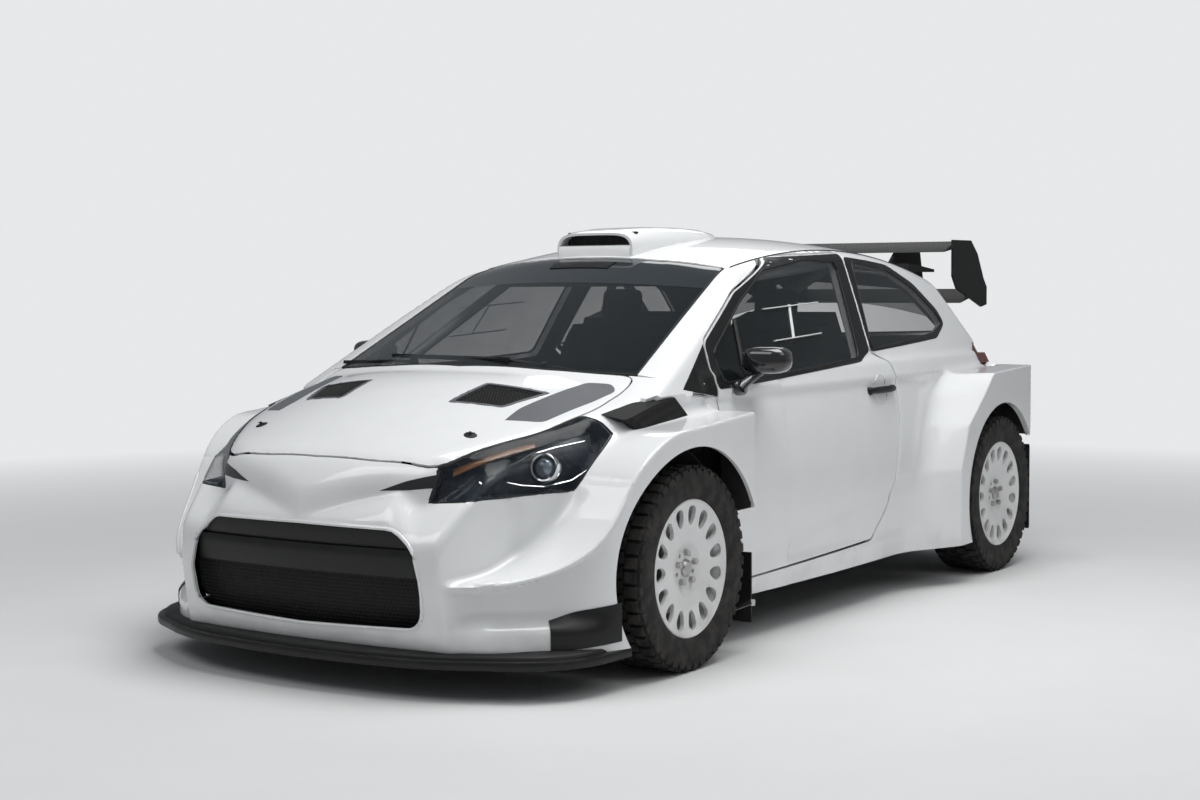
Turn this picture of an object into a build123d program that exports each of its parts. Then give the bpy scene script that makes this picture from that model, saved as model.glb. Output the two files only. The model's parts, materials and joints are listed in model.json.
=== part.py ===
"""Wide-bodied three-door rally hatchback, modelled at its real size as an assembly of separate pieces.

Lengths are millimetres. +X is the car's left side, -Y its nose and +Z up. The origin is on the ground,
under the middle of the overall length. The outer skin is made from a few doubly curved surfaces (each an
arc swept along another arc), and every panel is cut out of that one skin along its real shut lines.
"""
from build123d import *
import math
import os

os.makedirs("parts", exist_ok=True)

# Overall size
overall_length = 4085
overall_width = 1875
wheelbase = 2511
front_axle_y = -1182.5
front_end_y = -overall_length / 2
rear_end_y = overall_length / 2
rear_axle_y = front_axle_y + wheelbase
flare_x = overall_width / 2

# Wheels and tyres
tyre_radius = 325
tyre_width = 205
tyre_outer_x = 915
tyre_inner_x = tyre_outer_x - tyre_width
tyre_shoulder = 22
rim_radius = 217
bead_radius = 203
barrel_wall = 9
tyre_lip, tyre_seat, tyre_wall, tread_wall = 10, 8, 12, 22
tyre_shoulder_drop, bead_toe = 7, 14
arch_radius = 384
hub_z = tyre_radius
window_count = 15
window_length, window_width, window_depth = 62, 34, 80
lug_count = 5

# Wall thicknesses and gaps
door_wall = 55
frame_wall = 34
jamb_depth = 24
jamb_overlap = 28
roof_wall = 26
skin_wall = 22
glass_wall = 6
lid_wall = 24
lamp_depth = 60
liner_wall = 5
gap = 6
door_gap = 8
pillar_gap = 13

# Cutting blocks: beyond the car on any side, and inboard of everything on the left
far = 1500
half_cut = 300

# Side of the lower body and of the glasshouse: (x, z) points of each arc, and its radius in plan
lower_side = [(815, 120), (845, 520), (775, 905)]
lower_plan_radius = 18000
upper_side = [(796, 850), (697, 1090), (556, 1410)]
upper_plan_radius = 16000

# Crowned surfaces: y and z of the highest point, radius in profile and radius across
roof_crown = (420, 1400, 4000, 2500)
bonnet_crown = (-529, 1016, 3150, 2500)

# Windscreen and rear screen: the middle of the lower edge, the slope and the bow across
screen_foot_y, screen_foot_z = -1184, 947
screen_slope = 25
screen_bow = 2800
tail_top_y, tail_top_z = 1330, 1292
tail_slope = 44
tail_bow = 4500

# Nose and tail surfaces: (y, z) points of each profile arc, and its radius in plan
nose_profile = [(-1890, 730), (-2003, 500), (-1955, 120)]
nose_plan_radius = 3200
tail_profile = [(1730, 905), (1868, 560), (1835, 200)]
tail_plan_radius = 3800

sill_z = 160
belt_z = 905
floor_z = 185
floor_wall = 12
floor_top_z = floor_z + floor_wall

# Plan outlines of the front: the narrow body with the lamps, and the wide arches, as (x, y) of the left half
narrow_plan = [(0, -1935), (300, -1915), (430, -1870), (600, -1700), (720, -1460), (800, -1100), (860, -400)]
mouth_plan = [(0, -2100), (470, -2100), (560, -1850), (600, -1690), (600, -1500), (0, -1500)]
mouth_crest = [(-2100, 100), (-2100, 600), (-1962, 600), (-1890, 700), (-1800, 720), (-1500, 720), (-1500, 100)]
mouth_opening = [(0, 505), (363, 502), (440, 440), (466, 340), (425, 215), (0, 195)]
mouth_depth_y = -1700
wide_plan = [(470, -2050), (600, -1905), (740, -1810), (860, -1620), (915, -1430), (flare_x, -1200),
             (flare_x, -846), (838, -832), (500, -832)]

# Shelf over the front arch, seen from the side, as (y, z)
shelf_rear = [(-832, 800), (-1280, 762)]
shelf_drop = [(-1280, 762), (-1445, 682), (-1545, 552)]
shelf_sweep = [(-1545, 552), (-1650, 437), (-1830, 352)]
shelf_front = (-2080, 325)

# Rear flare: height, y where it leaves the body side, y where it reaches full width
rear_flare_sections = [(sill_z, 540, 854), (465, 640, 860), (640, 765, 938), (753, 905, 1091), (848, 1120, 1203)]
flare_end_y = 1640
flare_end_x = 922
flare_root_x, flare_start_x = 760, 800
flare_bottom_z = 562

# Shut lines seen from the side, as (y, z)
door_front = [(-740, 222), (-803, 831), (-770, 1015), (-755, 1053), (-467, 1211), (-73, 1318)]
door_top = (484, 1332)
door_rear = [(400, 948), (531, 905), (553, 847), (524, 660), (399, 360), (271, 250)]
door_glass = [(-668, 879), (-480, 1112), (-215, 1262), (140, 1303), (400, 1295), (290, 930)]
quarter_glass = [(430, 958), (545, 1297), (870, 1265), (1080, 1190), (1240, 1085), (1262, 1040), (1130, 1003)]
bumper_split_y = -1500
fender_top_rear = (-1050, 905)
side_panel_front = [(-740, sill_z), (-748, 215), (-811, 838), fender_top_rear, (-1050, far)]
fender_duct = [(-1371, 823), (-1082, 896), (-979, 777), (-1219, 731)]
tail_lamp_outline = [(1530, 955), (1612, 955), (1735, 862), (1545, 862)]
hinge_pocket_y = -640
hinge_pocket_z = (262, 1010)

# Windscreen, rear screen, tailgate and headlamp, seen along the car, as (x, z) of the left half
windscreen_half = [(0, 1313), (270, 1309), (539, 1296), (629, 921), (320, 940), (0, 947)]
windscreen_reach = (-1300, -150)
rear_screen_half = [(0, 1236), (430, 1204), (545, 1000), (0, 985)]
rear_screen_reach = (1000, 2000)
tailgate_half = [(0, 1330), (500, 1330), (505, 1255), (630, 960), (630, 562), (0, 562)]
tailgate_hinge_y = 1322
headlamp_outline = [(416, 570), (700, 592), (760, 770), (690, 806), (430, 668)]
headlamp_reach = (-1960, -1330)
roof_half_width = 540
roof_low_z = 1200

# Bonnet and its vent, seen from above, as (x, y) of the left half
bonnet_half = [(0, -1899), (235, -1890), (430, -1850), (600, -1560), (652, -1340), (642, -1180), (635, -1079),
               (500, -1125), (330, -1163), (0, -1192)]
bonnet_low_z = 600
bonnet_nose_gap = 10
vent_outline = [(227, -1527), (407, -1495), (469, -1335), (245, -1355)]
vent_slots, vent_pitch, vent_bar, vent_lip, vent_depth = 6, 26, 8, 8, 4

# Lids: the skin's own thickness, and how far the layers behind it step in from the shut line
lid_skin = 9
tailgate_step = 24
bonnet_step = 20

# Grille: depth behind the nose, plate, and the slats of its open field
grille_inset, grille_plate, grille_lip = 28, 22, 14
slat_rows, slat_low_z, slat_pitch, slat_bar = 9, 212, 22, 9

# Front splitter, as (x, y) of the left half
splitter_low_z, splitter_top_z = 95, 125
splitter_half = [(0, front_end_y), (300, -2030), (500, -1992), (680, -1920), (790, -1840), (880, -1700), (892, -1500),
                 (700, -1500), (700, -1560), (0, -1560)]

# Rear bumper and diffuser: seen from the side, as (y, z)
rear_bumper_low_z = 230
diffuser_plate = [(1560, 205), (1800, 222), (1858, 222), (1858, 230), (1800, 230), (1560, 213)]
diffuser_fin = [(1600, 210), (1850, 226), (1850, 172), (1640, 160)]
diffuser_half, fin_count, fin_pitch, fin_wall = 520, 7, 150, 8

# Wheels and hubs
rim_face_inset = 20
window_circle = 150
lug_circle = 54
lug_radius = 9
lug_depth = 40
centre_bore = 32
dish_radius, bore_land = 76, 72
hub_face_x = 872
hub_nose = 8
hub_radius = 70
disc_x, disc_thickness, disc_radius = 790, 28, 150
spindle_radius = 25
spindle_fit = 0.05

# Steering axis through (x, z) points, and what stands on it
kingpin_low = (755, 190)
kingpin_high = (620, 785)
strut_low_z, strut_radius = 440, 26
rod_radius, rod_top_z = 11, 808
spring_low_z, spring_radius = 668, 62
turret_radius, turret_wall = 78, 4
turret_low_z, turret_top_z = 690, 798
pin_radius = 10
pin_low_z, pin_high_z = 150, 232

# Upright, brake caliper and steering arm, measured from the brake disc and the axle
upright_half, upright_top_z = 34, 480
upright_depth = (58, 8)
clamp_low_z, clamp_half, clamp_reach = 420, 30, 24
caliper_offset, caliper_half, caliper_height = 118, 34, 65
caliper_reach, caliper_slot = 30, 6
arm_offset, arm_z, arm_depth = 130, (240, 272), (58, 34)

# Liners, flaps and engine bay
liner_x = 527
liner_top_x = 800
liner_door_half, liner_door_z = 160, 430
flap_low_z, flap_wall = 98, 6
front_flap_x, front_flap_z = (790, 905), 330
rear_flap_x, rear_flap_gap = (735, 905), 12

# Mirror and handle of the left door
mirror_centre = (884, -640, 955)
mirror_size = (140, 110, 88)
mirror_round = 24
mirror_foot = [((796, -690, 869), (36, 60)), ((856, -650, 930), (44, 60))]
handle_x, handle_y, handle_z = (806, 836), (272, 492), (790, 816)
handle_round = 10

# Rear wing: (first y, last y, z, thickness, tilt) of both elements, and the (y, z) outlines of what carries them
wing_tip_x, wing_plate = 545, 8
wing_elements = [(1560, 1850, 1345, 26, 40), (1740, rear_end_y - 6, 1120, 22, 60)]
plate_outline = [(1655, 1400), (1860, 1400), (1935, 1340), (2005, 1230), (rear_end_y, 1190), (rear_end_y, 1110),
                 (1980, 1100), (1700, 1185), (1655, 1240)]
spoiler_outline = [(1332, 1240), (1332, 1294), (1420, 1290), (1612, 1270), (1612, 1258), (1420, 1262)]
spoiler_half = 480
wing_fin = [(1480, 1262), (1590, 1350), (1840, 1372), (1900, 1150), (1780, 1140), (1640, 1200), (1600, 1262)]
wing_fin_x, wing_fin_wall = 300, 12

# Roof scoop: side view as (y, z), its slot, and its plan as (x, y)
scoop_half = 172
scoop_side = [(-372, 1300), (-372, 1407), (-180, 1432), (174, 1430), (397, 1406), (397, 1300)]
scoop_slot = [(-400, 1372), (-400, 1396), (-150, 1412), (-150, 1385)]
scoop_plan = [(0, -380), (scoop_half, -372), (scoop_half, 100), (130, 397), (0, 397)]
scoop_rim = 16

# Seats, as (y, z) outlines of the shell, of the space a driver fills and of the side wings
seat_x, seat_half, seat_wall = 360, 250, 36
seat_side = [(-190, floor_top_z), (-190, 330), (-240, 430), (-180, 470), (200, 380), (330, 560), (400, 900),
             (430, 1080), (500, 1100), (500, 900), (420, 560), (330, 300), (280, floor_top_z)]
seat_space = [(-400, 360), (190, 320), (300, 545), (380, 900), (410, 1200), (-400, 1200)]
seat_wing = [(-240, 430), (-60, 500), (150, 560), (230, 700), (270, 880), (300, 1000), (330, 1060), (430, 1080),
             (500, 900), (330, 300), (-100, 300)]
seat_waist_z, seat_top_z, seat_head_half = 940, 1300, 130

# Dashboard, steering wheel and column
firewall_y = -1004
dashboard_side = [(firewall_y, 700), (firewall_y, 900), (-900, 925), (-640, 900), (-560, 860), (-560, 800),
                  (-620, 690), (-760, 640)]
dashboard_half = 570
wheel_rake = 24
wheel_centre = (seat_x, -330, 800)
steering_radius, steering_grip = 165, 15
boss_radius, boss_length, boss_drop = 38, 70, 30
spoke_width, spoke_wall, spoke_drop = 30, 10, 8
column_radius, column_start, column_length = 24, 71, 420

# Roll cage: radius of the bars and the places where they meet, as (x, y, z) on the left
cage_radius = 20
cage_hoop_foot = (640, 560, floor_top_z + cage_radius)
cage_hoop_waist = (640, 560, 860)
cage_hoop_top = (510, 560, 1285)
cage_roof_rear, cage_roof_front = (490, 520, 1285), (490, -240, 1225)
cage_pillar_low, cage_pillar_knee = (628, -880, 850), (640, -765, 480)
cage_pillar_foot = (640, -745, floor_top_z + cage_radius)
cage_brace_knee = (430, 1160, 640)
cage_door_bar = [(640, -765, 400), (655, -150, 470), (640, 560, 620)]
cage_cross_z = 700
cage_brace_low_z = floor_top_z + cage_radius + 400

# Floor, tunnel and scuttle
floor_rear_y = 1700
riser_y = 1090
rear_floor_z = 420
tunnel_half, tunnel_top_z, tunnel_rear_y = 95, 330, 700
scuttle_depth = 9
scuttle_half, scuttle_front_y, scuttle_low_z = 625, -1220, 800

# Front frame: boxes as (x0, x1, y0, y1, z0, z1), those of the left side and those across the middle
tray_z = (splitter_top_z + 12, floor_z - 6)
tray_front_y, tray_half, tray_wall = -1480, 390, 6
frame_rear_y = firewall_y - floor_wall
frame_side_boxes = [
    (395, 445, -1800, frame_rear_y, 380, 440),
    (395, 445, -1800, -1750, 380, 570),
    (395, 445, -1290, -1230, 290, 380),
    (260, 300, -1290, -1230, 150, 230),
    (405, 435, front_axle_y + 115, front_axle_y + 145, 256, 380),
]
frame_cross_box = (-liner_x, liner_x, -1290, -1230, 230, 290)
bumper_beam = (-445, 445, -2000, -1750, 512, 570)
rack_offset, rack_z = 130, 256
rack_half, rack_radius, boot_half, boot_radius = 330, 22, 560, 15

# Engine, radiator and drive shafts
engine_boxes = [(-260, 330, -1490, -1150, 300, 735), (-180, 180, -1280, -1240, 290, 300)]
radiator_box = (-395, 395, -1780, -1730, 240, 505)
shaft_x, shaft_radius = (330, 700), 14
shaft_joints = [(330, 385, 38), (640, 700, 32)]

# Front arms: x and z of the bar they swing on, its ends and the arms' roots measured from the axle
ball_z, arm_radius, ball_radius, ball_height = 158, 12, 22, 24
front_bush, front_bush_radius = (430, 208), 22
front_bush_ends, front_arm_roots, front_root_z = (-200, 155), (-170, 130), 205

# Rear arms, their bar and ears, and the frame between them, measured from the axle
rear_arm_z, rear_arm_radius = 182, 16
rear_arms = [((345, -90), (757, -16)), ((345, 110), (757, 16))]
rear_bush, rear_bush_radius, rear_bush_ends = (332, 212), 22, (-140, 160)
rear_side_boxes = [(325, 360, -106, -74, 174, 212), (325, 360, 94, 126, 174, 212), (250, 320, -120, 140, 195, 260)]
rear_cross_boxes = [(-310, 310, -120, -60, 195, 260), (-310, 310, 80, 140, 195, 260),
                    (-250, 250, -100, 100, 215, rear_floor_z)]


def block(x0, x1, y0, y1, z0, z1):
    """A box between two corners."""
    return Pos((x0 + x1) / 2, (y0 + y1) / 2, (z0 + z1) / 2) * Box(x1 - x0, y1 - y0, z1 - z0)


def outline_face(points, grow=0):
    """A closed outline as a face, moved outwards by an amount with its corners kept sharp."""
    face = make_face(Polyline(*points, points[0]).edges())
    return offset(face, grow, kind=Kind.INTERSECTION) if grow else face


def side_view(points, x0, x1, grow=0):
    """A closed outline in the side view, given as (y, z), made solid from x0 to x1."""
    return extrude(Plane.YZ.offset(x0) * outline_face(points, grow), x1 - x0)


def plan_view(points, z0, z1, grow=0):
    """A closed outline seen from above, given as (x, y), made solid from z0 to z1."""
    return extrude(Plane.XY.offset(z0) * outline_face(points, grow), z1 - z0)


def rear_view(points, y0, y1, grow=0):
    """A closed outline seen along the car, given as (x, z), made solid from y0 to y1."""
    return extrude(Plane.XZ.offset(-y1) * outline_face(points, grow), y1 - y0)


def both_sides(half_points):
    """The points of the left half of an outline, followed by those of the right half."""
    return half_points + [(-x, y) for x, y in reversed(half_points) if x > 0]


def mirrored(piece):
    """The same piece on the right side of the car."""
    return mirror(piece, about=Plane.YZ)


def only(shape):
    """The largest solid of a cut piece, without slivers."""
    return max(shape.solids(), key=lambda solid: solid.volume)


def both(piece):
    """A left piece and its mirror image, as one node."""
    return Compound(children=[*piece.solids(), *mirrored(piece).solids()])


def other_side(point):
    """The mirror image of a point."""
    x, y, z = point
    return (-x, y, z)


def tube(start, end, radius):
    """A round bar between two points."""
    start, end = Vector(start), Vector(end)
    plane = Plane(origin=start, z_dir=end - start)
    return extrude(plane * Circle(radius), (end - start).length)


def bar_frame(paths, radius):
    """Round bars along each path of points, with a ball at every joint, as one solid."""
    frame = None
    for path in paths:
        for start, end in zip(path, path[1:]):
            bar = tube(start, end, radius)
            frame = bar if frame is None else frame + bar
        for point in path:
            frame = frame + Pos(*point) * Sphere(radius)
    return frame


def across(axis_y, axis_z, x0, x1, radius, inner_radius=0):
    """A round disc, drum or ring whose axis lies across the car."""
    ring = Circle(radius) - Circle(inner_radius) if inner_radius else Circle(radius)
    return extrude(Plane.YZ.offset(x0) * Pos(axis_y, axis_z) * ring, x1 - x0)


# Forms of the outer skin

def side_region(points, plan_radius, inset=0, top=None):
    """All that lies inboard of a left side curved in section and in plan, and of its mirror image."""
    low, mid, high = [(x - inset, z) for x, z in points]
    top = high[1] if top is None else top
    wall = [high, (high[0], top)] if top > high[1] else [high]
    outline = Curve() + [
        ThreePointArc(low, mid, high),
        Polyline(*wall, (-far, top), (-far, low[1]), low),
    ]
    face = make_face((Plane.XZ * outline).edges())
    axis = Axis((mid[0] - plan_radius, 0, 0), (0, 0, 1))
    reach = math.degrees(math.asin((rear_end_y + 300) / plan_radius))
    left = revolve(face.rotate(axis, -reach), axis, 2 * reach)
    return left & mirrored(left)


def crown_region(crown, inset=0):
    """All that lies below a surface crowned both ways, such as the roof or the bonnet."""
    y_peak, z_peak, profile_radius, across_radius = crown
    half_width, bottom, sweep = 1100, -300, 50
    top = z_peak - inset
    drop = across_radius - math.sqrt(across_radius**2 - half_width**2)
    left, right = (-half_width, top - drop), (half_width, top - drop)
    outline = Curve() + [
        ThreePointArc(left, (0, top), right),
        Polyline(right, (half_width, bottom), (-half_width, bottom), left),
    ]
    face = make_face((Plane.XZ.offset(-y_peak) * outline).edges())
    axis = Axis((0, y_peak, z_peak - profile_radius), (1, 0, 0))
    return revolve(face.rotate(axis, -sweep), axis, 2 * sweep)


def screen_region(foot_y, foot_z, slope, bow, inset=0):
    """All that lies inside a raked pane: flat along its slope and bowed across."""
    half_width, depth, before, length = 1000, 2500, 1500, 4000
    angle = math.radians(slope)
    along = Vector(0, math.cos(angle), math.sin(angle))
    start = Vector(0, foot_y, foot_z) - along * before
    drop = bow - math.sqrt(bow**2 - half_width**2)
    plane = Plane(origin=start, x_dir=(1, 0, 0), z_dir=along)
    left, right = (-half_width, inset + drop), (half_width, inset + drop)
    outline = Curve() + [
        ThreePointArc(left, (0, inset), right),
        Polyline(right, (half_width, depth), (-half_width, depth), left),
    ]
    return extrude(plane * make_face(outline.edges()), length)


def end_region(profile, plan_radius, inset=0):
    """All that lies inside the nose or the tail, curved in profile and in plan."""
    outward = 1 if profile[1][0] > 0 else -1
    low, mid, high = [(y - outward * inset, z) for y, z in profile]
    back = mid[0] - outward * (plan_radius - 10)
    top, bottom = max(low[1], high[1]) + 200, min(low[1], high[1]) - 100
    if low[1] > high[1]:
        low, high = high, low
    outline = Curve() + [
        ThreePointArc(low, mid, high),
        Polyline(high, (high[0], top), (back, top), (back, bottom), (low[0], bottom), low),
    ]
    face = make_face((Plane.YZ * outline).edges())
    axis = Axis((0, mid[0] - outward * plan_radius, 0), (0, 0, 1))
    return revolve(face.rotate(axis, -89), axis, 178)


def glasshouse(side_inset=0, roof_inset=0, screen_inset=0):
    """The body above the belt line, inside the sides, the roof and both screens."""
    front = screen_region(screen_foot_y, screen_foot_z, screen_slope, screen_bow, screen_inset)
    rear = screen_region(tail_top_y, tail_top_z, -tail_slope, tail_bow, screen_inset)
    side = side_region(upper_side, upper_plan_radius, side_inset)
    over_tail = block(-far, far, 1600, 2 * far, 0, belt_z - 2)
    return (side & crown_region(roof_crown, roof_inset) & front & rear) - over_tail


def front_body(side_inset=0, bonnet_inset=0):
    """The narrow body ahead of the doors, under the bonnet's surface."""
    side = side_region(lower_side, lower_plan_radius, side_inset, bonnet_crown[1] + gap)
    plan = plan_view(both_sides(narrow_plan + [(0, narrow_plan[-1][1])]), floor_z - 100, far, -side_inset)
    return side & crown_region(bonnet_crown, bonnet_inset) & plan


def rear_body(side_inset=0, tail_inset=0):
    """The body below the belt line, from the doors to the tail."""
    tail = end_region(tail_profile, tail_plan_radius, tail_inset)
    behind = block(-far, far, narrow_plan[-1][1] - side_inset, far + far, sill_z - far, far)
    return side_region(lower_side, lower_plan_radius, side_inset) & tail & behind


def wide_front():
    """The wide arches and the bumper's corners, below the shelf over the wheel."""
    plan = plan_view(both_sides(wide_plan), sill_z - 20, far)
    shelf = Curve() + [
        Line(*shelf_rear),
        ThreePointArc(*shelf_drop),
        ThreePointArc(*shelf_sweep),
        Polyline(shelf_sweep[-1], shelf_front, (shelf_front[0], 0), (shelf_rear[0][0], 0), shelf_rear[0]),
    ]
    under_shelf = extrude(Plane.YZ.offset(-far) * make_face(shelf.edges()), 2 * far)
    return plan & under_shelf


def rear_flares():
    """The wide rear arches, which grow out of the side and end in a flat face behind the wheel."""
    sections = []
    for z, start_y, ridge_y in rear_flare_sections:
        corners = [(flare_root_x, start_y), (flare_start_x, start_y), (flare_x, ridge_y), (flare_end_x, flare_end_y),
                   (flare_root_x, flare_end_y)]
        sections.append(Plane.XY.offset(z) * outline_face(corners))
    return both(loft(sections, ruled=True))


# Solids that more than one panel is cut from

nose = end_region(nose_profile, nose_plan_radius)
outer_narrow = glasshouse() + front_body() + rear_body()
inner_forms = [glasshouse(frame_wall + door_gap + jamb_depth, roof_wall, frame_wall),
               front_body(door_wall + door_gap + jamb_depth, lid_wall),
               rear_body(door_wall + door_gap + jamb_depth, door_wall)]
cabin = inner_forms[0] + inner_forms[1] + inner_forms[2]
shell = outer_narrow - cabin
mouth = nose & plan_view(both_sides(mouth_plan), 0, far) & side_view(mouth_crest, -far, far)
outer_front = front_body() + (wide_front() & nose) + mouth
engine_bay = front_body(skin_wall, lid_wall)
glass_skin = glasshouse() - glasshouse(glass_wall, glass_wall, glass_wall)
axle_lines = {"front": front_axle_y, "rear": rear_axle_y}


def turrets():
    """The round towers over the four struts."""
    towers = []
    for axle_y in axle_lines.values():
        left = pin_along_kingpin(axle_y, turret_radius, hub_z, turret_top_z)
        towers += [left, mirrored(left)]
    return Compound(children=towers)


def wheel_arches():
    """The round openings over all four wheels, with room for the liners."""
    arches = []
    for axle_y in axle_lines.values():
        left = across(axle_y, hub_z, liner_x, flare_x + 50, arch_radius + liner_wall)
        arches += [left, mirrored(left)]
    return Compound(children=arches)


def door_outline():
    """The door's shut line, seen from the side."""
    return [*door_front, door_top, *door_rear]


def door_thickness(extra=0):
    """All that lies inboard of the door's inner face, or that much further in."""
    upper = side_region(upper_side, upper_plan_radius, frame_wall + extra)
    lower = side_region(lower_side, lower_plan_radius, door_wall + extra)
    return upper + lower


def door_opening():
    """The recess in the side that the door fills, with its gap, wider along the pillar behind the glass."""
    pillar = [(y + pillar_gap - door_gap, z) for y, z in (door_top, door_rear[0])]
    outline = [*door_front, pillar[0], pillar[1], *door_rear[1:]]
    recess = side_view(outline, half_cut, far, door_gap) - door_thickness(door_gap)
    front_edge = [(y - door_gap, z) for y, z in door_front[:3]]
    way_in = [*front_edge, *door_front[3:], door_top, *door_rear]
    through = side_view(way_in, half_cut, far, -jamb_overlap)
    low_z, high_z = hinge_pocket_z
    hinge_side = side_view([*front_edge, (hinge_pocket_y, high_z), (hinge_pocket_y, low_z)], half_cut, far)
    return recess + through + hinge_side


def bonnet_zone(grow=0):
    """The stretch of the bonnet's surface inside its shut line."""
    return plan_view(both_sides(bonnet_half), bonnet_low_z, far, grow)


def windscreen_zone(grow=0):
    """The windscreen's opening."""
    return rear_view(both_sides(windscreen_half), *windscreen_reach, grow)


def tailgate_zone(grow=0):
    """All of the tail inside the tailgate's shut line."""
    return rear_view(both_sides(tailgate_half), tail_top_y - grow, far + far, grow)


def lamp_zone(grow=0):
    """The left headlamp's place in the corner of the nose, outside the bonnet."""
    return rear_view(headlamp_outline, *headlamp_reach, grow) - bonnet_zone(gap)


# Panels

def make_front_bumper():
    """The one-piece nose with the mouth for the grille and the corners of the wide arches."""
    ahead = block(-far, far, -far * 2, bumper_split_y, splitter_top_z, far)
    bay = engine_bay & block(-far, far, -far * 2, far, splitter_top_z + skin_wall, far)
    hole = rear_view(both_sides(mouth_opening), -far * 2, mouth_depth_y)
    lamps = lamp_zone()
    solid = outer_front & ahead
    for cut in (bay, hole, bonnet_zone(bonnet_nose_gap), lamps, mirrored(lamps), wheel_arches()):
        solid = solid - cut
    return only(solid)


def make_front_fender():
    """The left wing, with its wide arch and the shelf over the wheel."""
    rear_line = side_panel_front[:4]
    outline = [(bumper_split_y, sill_z), *rear_line, (fender_top_rear[0], far), (bumper_split_y, far)]
    solid = (outer_front & side_view(outline, half_cut, far)) - engine_bay
    for cut in (bonnet_zone(gap), lamp_zone(), wheel_arches(), windscreen_zone(), glasshouse(), make_fender_duct()):
        solid = solid - cut
    return only(solid)


def make_fender_duct():
    """The dark duct in the left front wing, behind the bonnet's corner."""
    skin = front_body() - front_body(skin_wall, skin_wall)
    duct = skin & side_view(fender_duct, half_cut, far)
    for cut in (bonnet_zone(gap), lamp_zone(), wheel_arches(), glasshouse()):
        duct = duct - cut
    return only(duct)


def make_body_side():
    """The left side from the windscreen pillar to the tail, with its sill and wide rear arch."""
    zone = side_view([*side_panel_front, (far * 2, far), (far * 2, sill_z)], half_cut, far)
    solid = shell & zone
    solid = solid + (rear_flares() & block(0, far, 0, 2 * far, 0, far))
    behind_wheel = block(half_cut, far, flare_end_y, far * 2, 0, flare_bottom_z)
    roof = block(-roof_half_width, roof_half_width, -far, far + far, roof_low_z, far)
    lamp = side_view(tail_lamp_outline, half_cut, far)
    quarter = side_view(quarter_glass, half_cut, far)
    cuts = [door_opening(), quarter, windscreen_zone(), tailgate_zone(gap), roof, wheel_arches(), turrets(),
            behind_wheel, lamp]
    for cut in cuts:
        solid = solid - cut
    return only(solid)


def make_roof_panel():
    """The roof skin, from the top of the windscreen to the tailgate."""
    zone = block(-roof_half_width, roof_half_width, -far, tail_top_y - gap, roof_low_z, far)
    return only((shell & zone) - windscreen_zone())


def make_roof_scoop():
    """The raised intake on the roof, open to the front and fading into the roof behind."""
    scoop = side_view(scoop_side, -scoop_half, scoop_half)
    taper = plan_view(both_sides(scoop_plan), roof_low_z, far)
    opening = side_view(scoop_slot, -scoop_half + scoop_rim, scoop_half - scoop_rim)
    return only(((scoop & taper) - opening) - outer_narrow)


def make_windshield():
    """The windscreen, a bowed pane."""
    return only(glass_skin & windscreen_zone())


def make_quarter_window():
    """The left pane behind the door."""
    return only(glass_skin & side_view(quarter_glass, half_cut, far))


def make_tailgate():
    """The rear door with the frame of its glass; the layers behind its skin step in, so that it swings free."""
    solid = shell & tailgate_zone()
    behind_skin = glasshouse(lid_skin, lid_skin, lid_skin) + rear_body(lid_skin, lid_skin)
    border = tailgate_zone() - tailgate_zone(-tailgate_step)
    glass = rear_view(both_sides(rear_screen_half), *rear_screen_reach)
    return only(solid - (behind_skin & border) - glass)


def make_rear_window():
    """The pane of the tailgate."""
    return only(glass_skin & rear_view(both_sides(rear_screen_half), *rear_screen_reach))


def make_rear_bumper():
    """The rear bumper between the wide arches."""
    zone = block(-far, far, flare_end_y, 2 * far, rear_bumper_low_z, flare_bottom_z)
    skin = rear_body() - rear_body(skin_wall, skin_wall)
    return only((skin & zone) - wheel_arches() - tailgate_zone(gap))


def make_rear_diffuser():
    """The sloping plate under the tail with its upright fins."""
    plate = side_view(diffuser_plate, -diffuser_half, diffuser_half)
    for i in range(fin_count):
        x = (i - (fin_count - 1) / 2) * fin_pitch
        plate = plate + side_view(diffuser_fin, x - fin_wall / 2, x + fin_wall / 2)
    return only(plate)


def make_tail_lamp():
    """The left tail lamp, in the corner between the side and the tailgate."""
    lamp = outer_narrow & side_view(tail_lamp_outline, half_cut, far)
    for cut in (*inner_forms, tailgate_zone(gap)):
        lamp = lamp - cut
    return only(lamp)


def make_bonnet():
    """The bonnet with its two vents cut through; the layer behind its skin steps in from the shut line."""
    skin = front_body() - front_body(0, lid_wall)
    border = (bonnet_zone() - bonnet_zone(-bonnet_step)) & front_body(0, lid_skin)
    solid = (skin & bonnet_zone()) - border
    for vent in (vent_zone(), mirrored(vent_zone())):
        solid = solid - vent
    return only(solid)


def vent_zone():
    """The left vent's opening in the bonnet."""
    return plan_view(vent_outline, bonnet_low_z, far)


def make_bonnet_vent():
    """A shallow tray of slats in the left vent."""
    skin = front_body(0, vent_depth) - front_body(0, lid_wall)
    tray = skin & vent_zone()
    low_x, high_x = vent_outline[0][0], vent_outline[2][0]
    slots = None
    for row in range(vent_slots):
        y = vent_outline[0][1] + vent_bar + row * vent_pitch
        slot = block(low_x, high_x, y, y + vent_pitch - vent_bar, bonnet_low_z, far)
        slots = slot if slots is None else slots + slot
    inside = plan_view(vent_outline, bonnet_low_z, far, -vent_lip)
    return only(tray - (slots & inside))


def make_headlamp():
    """The left lamp's body behind its clear cover."""
    skin = front_body(glass_wall, glass_wall) - front_body(lamp_depth, lamp_depth)
    return only((skin & lamp_zone()) - wheel_arches())


def make_headlamp_cover():
    """The clear cover of the left lamp, in the surface of the nose."""
    skin = front_body() - front_body(glass_wall, glass_wall)
    return only(skin & lamp_zone())


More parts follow.
